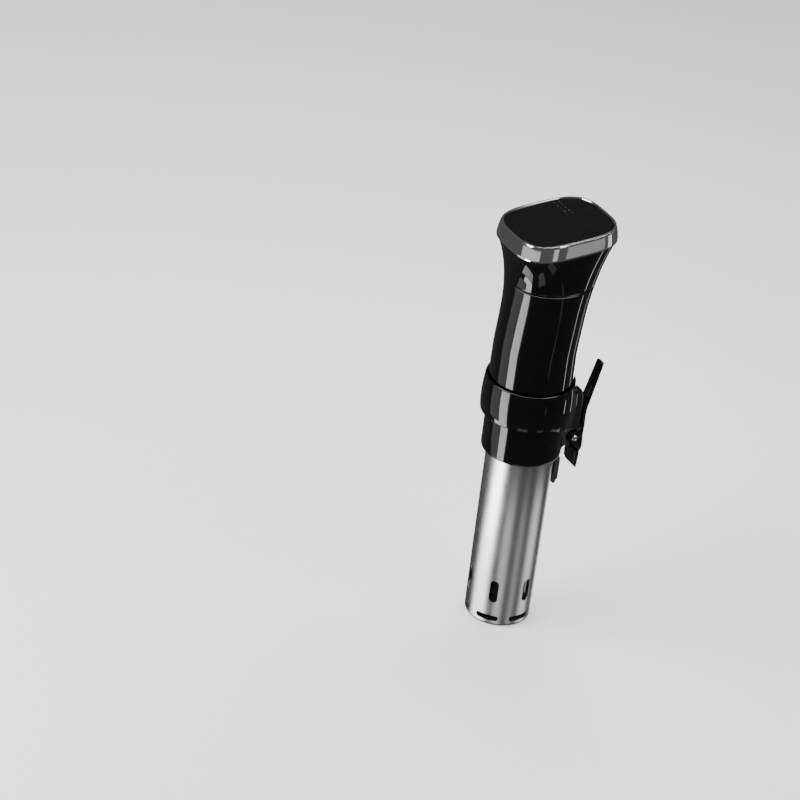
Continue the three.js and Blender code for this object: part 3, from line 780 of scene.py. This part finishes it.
def bulkhead_plug():
    """The stepped plug between the wet and the dry side, its seal groove and its wire holes."""
    low, high = extent("bulkhead")
    spigot = 27.4
    profile = rounded([
        (6, low.z, 0.4),
        (spigot, low.z, 0.8),
        (spigot, 170.6, 0.15),
        (25.6, 170.6, 0.3),
        (25.6, 173.4, 0.3),
        (spigot, 173.4, 0.15),
        (spigot, 178, 0.2),
        (high.x, 178, 0.4),
        (high.x, high.z, 0.4),
        (6, high.z, 0.4),
    ], steps=3)
    plug = lathe("bulkhead_plug", profile)
    holes = []
    heater_holes = [(HEATER_LEG, 0, 3.2), (COIL_RADIUS, 210, 3.2)]
    probe_holes = [(HEATER_LEG, degrees, 2.2) for degrees in (120, 180, 240)]
    for distance, degrees, radius in heater_holes + probe_holes:
        angle = math.radians(degrees)
        holes.append(drill(radius, "bulkhead", (distance * math.cos(angle), distance * math.sin(angle))))
    combine(plug, holes, "DIFFERENCE")
    finished(plug, NYLON, "housing", "bulkhead", "bulkhead")


def seal_ring():
    middle_z, centre, section = 172, 26.85, 0.95
    profile = [(centre + section * math.cos(a), middle_z + section * math.sin(a)) for a in full_turn(14)]
    finished(lathe("o_ring", profile, 128), RUBBER, "housing", "seals", "sleeve_seal")


def drive_shaft():
    low, high = extent("impeller_shaft")
    profile = rounded([(0, low.z), (high.x, low.z, 0.5), (high.x, high.z, 0.5), (0, high.z)], closed=False)
    finished(lathe("drive_shaft", profile, 40), DRAWN_STEEL, "rotor", "shaft", "impeller_shaft")


# ---- the body and the head ----

VENT = dict(length=26, width=2.6, radius=BODY_RADIUS, upright=False)
VENT_COUNT = 5
VENT_FIRST = 258
VENT_STEP = 6
gland_low, gland_high = extent("cord_gland")
GLAND_Y = (gland_low.y + gland_high.y) / 2
GLAND_Z = (gland_low.z + gland_high.z) / 2
GLAND_HOLE = 6


def around_x(name, profile, y, z, segments=48, flip=False):
    """A profile of (radius, x) pairs turned about a line along X."""
    side = -1 if flip else 1
    loops = swept(profile, segments, lambda across, up, x: (side * x, y + across, z + up))
    return skin(name, loops, close_loops=profile[0][0] > 0, close_ends=True)


def motor_body():
    top = SEAM - 0.3
    step_low, step_high = RING_TOP + 0.6, RING_TOP + 1.4
    levels = [LEAN_START + i * (top - 4 - LEAN_START) / 12 for i in range(13)]
    outer = [(TOP_RADIUS, z) for z in levels]
    inner = [(BODY_BORE, z) for z in reversed(levels)]
    profile = rounded([
        (MOUTH_RADIUS, BODY_BOTTOM, 0.6),
        (LOW_RADIUS, BODY_BOTTOM, 2.6),
        (LOW_RADIUS, step_low, 0.3),
        (BODY_RADIUS, step_high, 0.4),
        *outer,
        (TOP_RADIUS, top, 1.1),
        (BODY_BORE, top, 0.3),
        *inner,
        (BODY_BORE, MOUTH_TOP + 1, 0.3),
        (MOUTH_RADIUS, MOUTH_TOP, 0.3),
    ], steps=5)
    shell = lathe("motor_body", profile, segments=240, warp=flared)
    vents = []
    for i in range(VENT_COUNT):
        cutter = slot_cutter(z=VENT_FIRST + i * VENT_STEP, **VENT)
        vents += turned_copies(cutter, 1, 180)
    hole = around_x("hole", [(0, BODY_BORE - 2), (GLAND_HOLE, BODY_BORE - 2), (GLAND_HOLE, BODY_RADIUS + 3),
                             (0, BODY_RADIUS + 3)], GLAND_Y, GLAND_Z, flip=True)
    combine(shell, [*vents, hole], "DIFFERENCE")
    bevel(shell, 0.35, segments=2, angle=55)
    finished(shell, GLOSS, "housing", "body", "body_shell")


def gland():
    """A short rubber collar with two grip grooves round an open bore."""
    surface = BODY_RADIUS
    profile = rounded([
        (3.6, surface - 5, 0.4),
        (5.7, surface - 5, 0.5),
        (5.7, surface + 0.3, 0.2),
        (8, surface + 0.3, 0.3),
        (8, surface + 1.5, 0.6),
        (7.1, surface + 2, 0.2),
        (7.1, surface + 2.3, 0.2),
        (6.6, surface + 3, 0.4),
        (4.2, surface + 3, 0.4),
        (3.6, surface + 2.4, 0.3),
    ], steps=4)
    collar = around_x("gland_collar", profile, GLAND_Y, GLAND_Z, segments=64, flip=True)
    finished(collar, RUBBER, "housing", "seals", "cord_gland")


def head_case():
    foot = SEAM - RIM
    levels = [i / 16 for i in range(17)]
    outer, inner, spigot = 0.985, 0.925, 0.895
    profile = rounded([
        (spigot, foot - 6, 0.3),
        (spigot, foot, 0.1),
        (outer, foot + 0.1, 0.02),
        *((1 + (outer - 1) * t, foot * (1 - max(t, 0.04)) - 0.3 * t) for t in levels[:-1]),
        (outer, -0.3),
        (inner, -0.3),
        *((inner, foot * (1 - t)) for t in reversed(levels[1:-1])),
        (spigot - 0.03, foot + 0.4),
        (spigot - 0.03, foot - 6),
    ], steps=3)
    finished(head_piece("head_case", profile), GLOSS, "housing", "body", "head_shell")


def chrome_band():
    """The plated band: a leaning face, a soft shoulder and a thin bright lip round the window."""
    profile = rounded([
        (0.93, 0, 0.2),
        (1.0, 0, 0.25),
        (1.0, 1.2, 0.3),
        (0.985, 6),
        (0.96, 10.8, 0.5),
        (0.945, 12.1, 0.5),
        (0.912, 12.1, 0.35),
        (0.905, 11.5, 0.1),
        (0.904, 8.6, 0.1),
        (0.8, 8.6, 0.1),
        (0.8, 7, 0.1),
        (0.89, 7, 0.2),
        (0.93, 4, 0.5),
    ], steps=4)
    finished(head_piece("chrome_band", profile), CHROME, "housing", "chrome", "chrome_bezel")


WINDOW_TOP = 11.9
MARKS_X = -29
MARKS_Y = 17


def window():
    """The touch window: a flat plate with a ground edge."""
    profile = rounded([
        (0, 9.9),
        (0.892, 9.9, 0.1),
        (0.896, 10.3, 0.1),
        (0.896, 11.3, 0.3),
        (0.886, WINDOW_TOP, 0.3),
        (0, WINDOW_TOP),
    ], closed=False, steps=3)
    finished(head_piece("touch_window", profile), PANEL, "housing", "window", "display_window")


def panel_marks():
    """Two rows of short faint dashes printed on the window, proud by the print's thickness."""
    low, high = WINDOW_TOP - 0.02, WINDOW_TOP + 0.03
    length, width = 2.6, 0.55

    def dash(x, y):
        outline = rounded([(x + a * length / 2, y + b * width / 2, 0.2) for a, b in
                           ((1, 1), (-1, 1), (-1, -1), (1, -1))], steps=3)
        loops = [[(u, v + HEAD_SHIFT, RIM + z + HEAD_SLOPE * v) for u, v in outline] for z in (low, high)]
        return skin("mark", loops, caps=True)

    marks = [dash(MARKS_X + 5.2 * column, MARKS_Y - 4.5 * row) for row in range(2) for column in range(5)]
    finished(merged("panel_marks", marks), faint_print(), "housing", "window")


# ---- the clamp ----


def blend_max(a, b, softness):
    overlap = max(softness - abs(a - b), 0) / softness
    return max(a, b) + overlap * overlap * softness / 4


def blend_min(a, b, softness):
    return -blend_max(-a, -b, softness)


def eased(value, start, stop):
    t = share_between(value, start, stop)
    return t * t * (3 - 2 * t)


def lug_underside(y):
    """Height of the band's lower edge, which slopes down under the lug."""
    if y <= LUG_START:
        return RING_BOTTOM
    return RING_BOTTOM - (y - LUG_START) * (RING_BOTTOM - LUG_BOTTOM) / (LUG_FRONT - LUG_START)


def band_radius(z):
    """The band is widest at its bulge and curves in above and, a little, below it."""
    if z > BULGE_Z:
        return BULGE_RADIUS - 1.7 * ((z - BULGE_Z) / 23) ** 2
    return BULGE_RADIUS - 0.2 * ((BULGE_Z - z) / 6) ** 2


def lug_plan(angle):
    """Distance from the axis to the lug's outline seen from above."""
    x, y = abs(math.cos(angle)), math.sin(angle)
    if y <= 0.02:
        return 0
    start = Vector((LUG_ROOT, LUG_START))
    run = Vector((LUG_HALF_WIDTH, LUG_FRONT)) - start
    normal = Vector((run.y, -run.x)).normalized()
    side = normal.dot(start) / (normal.x * x + normal.y * y)
    return blend_min(side, LUG_FRONT / y, 3) - 3 * (1 - eased(angle if x else 0, 0, 0.3))


def lug_depth(z):
    """How far the lug reaches towards the clamp at a height."""
    if z <= LUG_SHOULDER:
        return LUG_FRONT - LUG_SETBACK * share_between(z, LUG_TOP, LUG_SHOULDER)
    return LUG_FRONT - LUG_SETBACK - (z - LUG_SHOULDER) * LEDGE_FALL


def ring_side(angle, z):
    reach = blend_min(lug_plan(min(angle, math.pi - angle)), lug_depth(z) / max(math.sin(angle), 0.05), 2)
    return blend_max(band_radius(z), reach, 2.5) if math.sin(angle) > 0.02 else band_radius(z)


def ring_section(angle):
    """The band's section at an angle, its lower edge following the sloping underside."""
    sine = math.sin(angle)
    low_radius = ring_side(angle, lug_underside(RING_BORE * sine))
    low_radius = min(low_radius, LUG_FRONT / sine) if sine > 0.5 else low_radius
    low = lug_underside(low_radius * sine)
    side_top = RING_TOP - 1
    under = [low + (LUG_SHOULDER - 0.4 - low) * k / 18 for k in range(1, 19)]
    ledge = [LUG_SHOULDER + step for step in (-0.15, 0, 0.08, 0.16, 0.24, 0.32, 0.4, 0.6, 1)]
    over = [LUG_SHOULDER + 1 + (side_top - LUG_SHOULDER - 1) * k / 6 for k in range(1, 7)]
    levels = under + ledge + over
    return rounded([
        (RING_BORE, lug_underside(RING_BORE * sine), 0.4),
        (low_radius, low, 1.6),
        *((ring_side(angle, z), z) for z in levels),
        (band_radius(RING_TOP) - 0.1, RING_TOP, 0.9),
        (band_radius(RING_TOP) - 1.9, RING_TOP, 0.8),
        (RING_BORE, RING_TOP - 1.3, 0.4),
    ], steps=4)


def clamp_band():
    loops = []
    for angle in full_turn(360):
        c, s = math.cos(angle), math.sin(angle)
        wrapped = angle if angle <= math.pi * 1.5 else angle - 2 * math.pi
        loops.append([(r * c, r * s, z) for r, z in ring_section(wrapped)])
    band = skin("clamp_band", loops, close_ends=True)
    combine(band, [spring_groove()], "DIFFERENCE")
    finished(band, GLOSS, "housing", "body", "clamp_ring")


SPRING_RADIUS = 3.6
SPRING_WIRE = 0.55
SPRING_TURNS = 4.5
SPRING_PITCH = 1.5
SPRING_HALF = SPRING_TURNS * SPRING_PITCH / 2


def spring_groove():
    """A cutter that makes room for the spring's long arm, which swings in with the lever."""
    back, front = PIN_Y + 0.2, PIN_Y + 5
    low, high = PIN_Z + 6, PIN_Z + 20
    outline = [(back, low), (front, low), (front, high), (back, high)]
    return slab("spring_groove", outline, 0.95, section_radius=0, centre_x=-SPRING_HALF)


def pin_bore():
    """A cutter for the hole that the pivot pin goes through."""
    radius, half_length = 2.3, 30
    profile = [(0, -half_length), (radius, -half_length), (radius, half_length), (0, half_length)]
    return around_x("bore", profile, PIN_Y, PIN_Z, 40)


def jaw():
    """The leg that goes down inside the vessel, with a window for the spring, the pin's bore and a groove for
    the spring's long arm.
    """
    low, high = extent("fixed_jaw")
    wall = LOW_RADIUS + 0.5
    nose = PIN_Y + 3.2
    chin = PIN_Z - 8.7
    front = 34.4
    outline = rounded([
        (low.y, low.z + 1.6, 0.8),
        (low.y + 1.4, low.z, 0.8),
        (front, low.z + 1.6, 1.4),
        (front, chin - 6, 3),
        (front + 2.4, chin, 2),
        (nose - 3.6, chin, 2.5),
        (nose, chin + 4, 2.5),
        (nose, PIN_Z + 6.7, 3),
        (LUG_FRONT, lug_underside(LUG_FRONT) - 0.5, 0.8),
        (wall, lug_underside(wall) - 0.5, 0.4),
        (wall, BODY_BOTTOM - 1.2, 0.4),
        (low.y, BODY_BOTTOM - 1.2, 1.2),
    ], steps=4)
    leg = slab("jaw_leg", outline, high.x, section_radius=0.7)
    back, mouth, sill, head = PIN_Y - 4.6, nose + 1, PIN_Z - 6, PIN_Z + 7.5
    window_outline = [(back, sill), (mouth, sill), (mouth, head), (back, head)]
    window_cut = slab("window", window_outline, 4.6, section_radius=0)
    combine(leg, [window_cut, pin_bore(), spring_groove()], "DIFFERENCE")
    finished(leg, MATTE, "housing", "jaw", "fixed_jaw")


def ribbed_pad(name, node, body, face, back):
    """A rubber pad whose gripping face carries level ribs."""
    low, high = extent(node)
    rib = 1.6
    depth = 0.45 * (1 if face > back else -1)
    count = int((high.z - low.z - 1.6) / rib)
    start = (low.z + high.z) / 2 - count * rib / 2
    outline = [(back, low.z, 0.4), (face - depth, low.z, 0.5)]
    for i in range(count):
        z = start + i * rib
        outline += [(face - depth, z + 0.05, 0.1), (face, z + 0.45, 0.3)]
        outline += [(face, z + 1.15, 0.3), (face - depth, z + 1.55, 0.1)]
    outline += [(face - depth, high.z, 0.5), (back, high.z, 0.4)]
    pad = slab(name, rounded(outline, steps=3), high.x, section_radius=0.35)
    finished(pad, RUBBER, body, "pads", node)


def pin():
    """The pivot pin, domed at one end, with a clip washer at the other."""
    profile = rounded([
        (0, -PIN_HALF),
        (PIN_RADIUS - 0.4, -PIN_HALF, 0.3),
        (PIN_RADIUS, -PIN_HALF + 0.5, 0.3),
        (PIN_RADIUS, PIN_HALF - 1.5, 0.1),
        (PIN_HEAD, PIN_HALF - 1.5, 0.15),
        (PIN_HEAD, PIN_HALF - 0.9, 0.4),
        (PIN_HEAD - 1.1, PIN_HALF - 0.15, 0.8),
        (0, PIN_HALF),
    ], closed=False)
    axle = around_x("pivot_axle", profile, PIN_Y, PIN_Z, 48)
    polished = brushed_steel("polished_pin", colour=(0.72, 0.72, 0.71), rough=0.18)
    finished(axle, polished, "housing", "pin", "pivot_pin")


def spring():
    """The torsion spring: a coil round the pivot pin between a long arm and a short one."""
    steps = 24
    coil = []
    for i in range(int(SPRING_TURNS * steps) + 1):
        angle = -2 * math.pi * i / steps
        y = PIN_Y + SPRING_RADIUS * math.cos(angle)
        z = PIN_Z + SPRING_RADIUS * math.sin(angle)
        coil.append(Vector((i / steps * SPRING_PITCH - SPRING_HALF, y, z)))
    points = [
        Vector((-SPRING_HALF, PIN_Y + SPRING_RADIUS + 2.6, PIN_Z + 17)),
        Vector((-SPRING_HALF, PIN_Y + SPRING_RADIUS + 0.4, PIN_Z + 5)),
        *coil,
        Vector((SPRING_HALF, PIN_Y - SPRING_RADIUS, PIN_Z + 5)),
    ]
    wire = tube("clamp_spring", smooth_path(points, 2), SPRING_WIRE, sides=10)
    look = brushed_steel("spring_wire", lengthwise=True, colour=(0.36, 0.36, 0.37), rough=0.3)
    shade(wire)
    wire.data.materials.append(look)
    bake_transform(wire)
    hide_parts("torsion_spring")


# Stations of the lever from its foot to its tip: inner y, inner z, outer y, outer z, half width.
LEVER_STATIONS = [
    (51.3, 140.1, 53.3, 140.1, 8.6),
    (51.3, 148, 53.8, 148, 9),
    (51.3, 155, 53.8, 155.5, 9.4),
    (50.2, 159.5, 53.7, 160, 11.6),
    (49.4, 163, 53.4, 164, 12.5),
    (49.3, 172, 52.7, 172.5, 12.6),
    (49.3, 181, 52.8, 180.5, 12.6),
    (50.2, 186.5, 53.6, 185.6, 11.4),
    (51.8, 191, 55.1, 190, 9),
    (54.2, 197, 57.5, 195.8, 6.4),
    (56.9, 204, 60.2, 203, 5.2),
    (61.1, 219.5, 64.4, 219, 4.7),
    (63.4, 228.2, 66.6, 227.7, 4.4),
    (65.4, 236.1, 68.3, 235.5, 4.3),
]


def lever_loops():
    """Rounded sections along the lever, closing in a half-round foot and tip."""
    path = smooth_path(LEVER_STATIONS, 6)
    loops = []
    last = len(path) - 1
    for i, row in enumerate(path):
        inner, outer, half = Vector(row[0:2]), Vector(row[2:4]), row[4]
        middle = (inner + outer) / 2
        across = (outer - inner) / 2
        thick = across.length
        along = Vector((-across.y, across.x)).normalized()
        if i == 0:
            end_sizes = [(-1, 0.25), (-0.9, 0.55), (-0.6, 0.85), (0, 1)]
        elif i == last:
            end_sizes = [(0, 1), (0.5, 0.86), (0.8, 0.6), (0.92, 0.25)]
        else:
            end_sizes = [(0, 1)]
        for shift, size in end_sizes:
            w = half - thick * (1 - size)
            t = thick * size
            centre = middle + along * shift * min(thick, 1.0)
            crown = [(w, t * 0.8, 1.0), (0, t), (-w, t * 0.8, 1.0)]
            section = rounded([(-w, -t, 0.9), (w, -t, 0.9), *crown], steps=5)
            unit = across.normalized()
            loops.append([(x, *(centre + unit * offset)) for x, offset in section])
    return loops


def lever():
    """The sprung handle: one curved strap with two ears round the pivot pin."""
    strap = skin("lever_handle", lever_loops(), caps=True)
    ear_radius, ear_half = 6, 1.8
    half = extent("clamp_lever")[1].x
    arc = [(PIN_Y + ear_radius * math.cos(a), PIN_Z + ear_radius * math.sin(a))
           for a in (math.radians(100 + 150 * k / 20) for k in range(21))]
    outline = [*arc, (50.6, 161.5), (51.3, 161.5), (51.3, 182), (50.6, 182)]
    ears = [slab("ear", outline, ear_half, section_radius=0.5, centre_x=side * (half - ear_half))
            for side in (-1, 1)]
    combine(strap, ears, "UNION")
    combine(strap, [pin_bore()], "DIFFERENCE")
    finished(strap, GLOSS, "lever", "body", "clamp_lever")


# ---- sealed inside ----


def carry_over(look, *nodes, width=0.25):
    """Shows CAD nodes as they are, with their edges broken and a material of their own."""
    for node in nodes:
        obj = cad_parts[node]
        obj.data.materials.clear()
        obj.data.materials.append(look)
        modifier = obj.modifiers.new("broken_edges", "BEVEL")
        modifier.width = width * MM
        modifier.segments = 2
        modifier.limit_method = "ANGLE"
        modifier.angle_limit = math.radians(40)


def inner_parts():
    board = circuit_board()
    carry_over(CAST, "motor_mount", "motor_end_plate", "heat_sink", "capacitor")
    carry_over(cast_aluminium("turned_bush", (0.66, 0.66, 0.67), 1600), "shaft_bush", "shaft_coupling")
    carry_over(DRAWN_STEEL, "motor_can", "motor_screw_1", "motor_screw_2", "motor_screw_3")
    carry_over(copper_winding(), "motor_rotor")
    carry_over(matte_black("ferrite", 0.03), "motor_magnet")
    carry_over(matte_black("potting", 0.014), "transformer", "board_carrier")
    carry_over(pale_nylon("relay_case", (0.55, 0.52, 0.44)), "relay", "cooling_fan")
    carry_over(board, "control_board", "touch_board")
    carry_over(cast_aluminium("display_frame", (0.5, 0.51, 0.53), 1200), "display_module")
    carry_over(RUBBER, "shaft_seal", "window_gasket")


# ---- studio ----


def emissive(name, strength):
    """A black material that only gives white light."""
    material = bpy.data.materials.new(name)
    material.use_nodes = True
    shader = material.node_tree.nodes["Principled BSDF"]
    shader.inputs["Base Color"].default_value = (0, 0, 0, 1)
    shader.inputs["Emission Color"].default_value = (1, 1, 1, 1)
    shader.inputs["Emission Strength"].default_value = strength
    return material


def backdrop():
    """A round floor that curves up into a wall on every side, pale from any angle."""
    radius, curve, wall_top, segments = 3400, 1400, 3200, 96
    ground = -0.2
    turn = [math.radians(90 * k / 12) for k in range(13)]
    profile = [(0, ground), (radius - curve, ground)]
    profile += [(radius - curve + curve * math.sin(a), ground + curve * (1 - math.cos(a))) for a in turn[1:]]
    profile.append((radius, wall_top))
    loops = swept(profile, segments, unchanged)
    obj = skin("studio_floor", [list(loop) for loop in zip(*loops)])
    obj.data.shade_smooth()
    obj.data.materials.append(floor_paint())
    obj.visible_glossy = False


VIEW_AZIMUTH = math.radians(60)
VIEW_ELEVATION = math.radians(30.4)
VIEW_ROLL = math.radians(-6.5)
VIEW_DISTANCE = 1.918
LENS = 105
SENSOR = 36
AIM_RIGHT = 0.16375  # where the band's top sits, from the picture's centre, as shares of its width
AIM_UP = 0.03125


def camera_axes():
    """Right, down and forward of the camera, as unit vectors."""
    cos_e = math.cos(VIEW_ELEVATION)
    back = Vector((math.sin(VIEW_AZIMUTH) * cos_e, -math.cos(VIEW_AZIMUTH) * cos_e, math.sin(VIEW_ELEVATION)))
    forward = -back
    right = forward.cross(Vector((0, 0, 1))).normalized()
    down = forward.cross(right)
    c, s = math.cos(VIEW_ROLL), math.sin(VIEW_ROLL)
    return c * right + s * down, -s * right + c * down, forward


def camera():
    """The camera looks past the middle of the band's top edge, from the set distance."""
    right, down, forward = camera_axes()
    focal = LENS / SENSOR
    ray = ((right * AIM_RIGHT - down * AIM_UP) / focal + forward).normalized()
    data = bpy.data.cameras.new("camera")
    data.lens = LENS
    data.sensor_width = SENSOR
    obj = bpy.data.objects.new("camera", data)
    bpy.context.scene.collection.objects.link(obj)
    turn = Matrix((right, -down, -forward)).transposed().to_4x4()
    obj.matrix_world = Matrix.Translation(place(0, 0, RING_TOP) - ray * VIEW_DISTANCE) @ turn
    bpy.context.scene.camera = obj


def towards(azimuth, elevation, distance, centre=Vector((0, 0, 0.02))):
    """A point seen from the object at an azimuth from the camera's own (left is negative)."""
    a = VIEW_AZIMUTH + math.radians(azimuth)
    e = math.radians(elevation)
    return centre + Vector((math.sin(a) * math.cos(e), -math.cos(a) * math.cos(e), math.sin(e))) * distance


def aimed(obj, position, target):
    obj.location = position
    obj.rotation_euler = (target - position).to_track_quat("-Z", "Y").to_euler()


def softbox(name, azimuth, elevation, distance, width, height, watts):
    data = bpy.data.lights.new(name, "AREA")
    data.shape = "RECTANGLE"
    data.size = width
    data.size_y = height
    data.energy = watts
    obj = bpy.data.objects.new(name, data)
    bpy.context.scene.collection.objects.link(obj)
    obj.visible_camera = False
    aimed(obj, towards(azimuth, elevation, distance), Vector((0, ORIGIN.y, 0.05)))


def card(name, corners, strength):
    """A lit card that shows only in reflections."""
    mesh = bpy.data.meshes.new(name)
    mesh.from_pydata(corners, [], [(0, 1, 2, 3)])
    obj = object_of(name, mesh)
    obj.data.materials.append(emissive(name, strength))
    for ray in ("camera", "diffuse", "shadow", "transmission", "volume_scatter"):
        setattr(obj, f"visible_{ray}", False)


def upright_card(name, azimuth, distance, low, high, width, strength):
    """A vertical card; its heights are measured from the floor."""
    foot = towards(azimuth, 0, distance, Vector((0, ORIGIN.y, CAD_BOX[0][2])))
    aside = Vector((-(foot.y - ORIGIN.y), foot.x, 0)).normalized() * width / 2
    up = Vector((0, 0, 1))
    card(name, [foot - aside + up * low, foot + aside + up * low, foot + aside + up * high,
                foot - aside + up * high], strength)


def overhead_frame(name, height, inner, outer, strength):
    """A hollow frame of cards above: it draws light lines along upper edges and leaves the window dark."""
    centre = Vector((0, ORIGIN.y, CAD_BOX[1][2] + height))
    strip = [Vector((-inner, inner, 0)), Vector((outer, inner, 0)), Vector((outer, outer, 0)),
             Vector((-inner, outer, 0))]
    for side in range(4):
        turn = Matrix.Rotation(math.radians(90 * side), 3, "Z")
        card(f"{name}_{side}", [centre + turn @ corner for corner in strip], strength)


# Cards round the object: azimuth from the camera in degrees, lowest and highest edge above the floor,
# width and strength. Seen from above, a wall shows the card below its own height, so the cards for the
# sleeve hang lowest and those for the chrome band highest.
CARD_DISTANCE = 0.5
CARDS = [
    ("body_wide", -70, -0.14, 0.17, 0.50, 1.2),
    ("body_core", -64, -0.22, 0.17, 0.32, 14),
    ("body_right", 98, -0.04, 0.03, 0.014, 9),
    ("body_sliver", 43, 0.0, 0.05, 0.007, 2.5),
    ("body_back_right", 128, -0.06, 0.04, 0.03, 2),
    ("body_back", 170, -0.14, 0.14, 0.24, 7),
    ("sleeve_left", -72, -0.46, -0.22, 0.46, 4.6),
    ("sleeve_front", -5, -0.46, -0.17, 0.22, 1.2),
    ("sleeve_middle", 40, -0.46, -0.17, 0.14, 0.7),
    ("sleeve_right", 88, -0.46, -0.17, 0.26, 1.6),
    ("sleeve_back", 165, -0.46, -0.17, 0.4, 2.4),
    ("chrome_left", -46, 0.20, 0.36, 0.74, 0.62),
    ("chrome_middle", 34, 0.20, 0.36, 0.08, 0.55),
    ("chrome_right", 64, 0.20, 0.36, 0.24, 0.28),
    ("chrome_end", 92, 0.20, 0.36, 0.10, 1.1),
    ("chrome_back", 168, 0.16, 0.36, 0.3, 1.2),
]


def studio():
    world = bpy.data.worlds.new("studio")
    world.use_nodes = True
    background = world.node_tree.nodes["Background"]
    background.inputs["Color"].default_value = (0.9, 0.95, 1, 1)
    background.inputs["Strength"].default_value = 0.1
    bpy.context.scene.world = world
    softbox("key", -75, 45, 1.6, 1.2, 1.2, 40)
    softbox("fill", 60, 40, 2.0, 1.4, 1.2, 16)
    softbox("top", 170, 70, 1.2, 0.8, 0.5, 16)
    for name, azimuth, low, high, width, strength in CARDS:
        upright_card(f"card_{name}", azimuth, CARD_DISTANCE, low, high, width, strength)
    overhead_frame("card_above", 0.5, 0.2, 0.44, 14)
    backdrop()
    camera()


# ---- the object ----

sleeve()
end_cap()
pump_floor()
for number in (1, 2, 3):
    upright_rod(f"guide_{number}", f"guide_rod_{number}", DRAWN_STEEL, "guide_rods", groove=0.3)
for node in ("temperature_probe", "level_rod_long", "level_rod_short"):
    upright_rod(f"{node}_rod", node, DRAWN_STEEL, "probes", tip_radius=1.4)
heater()
impeller_wheel()
drive_shaft()
bulkhead_plug()
seal_ring()
motor_body()
gland()
head_case()
chrome_band()
window()
panel_marks()
clamp_band()
jaw()
ribbed_pad("jaw_grip", "jaw_pad", "housing", extent("jaw_pad")[1].y, extent("jaw_pad")[0].y)
ribbed_pad("lever_grip", "lever_pad", "lever", extent("lever_pad")[0].y, extent("lever_pad")[1].y)
pin()
spring()
lever()
inner_parts()
studio()
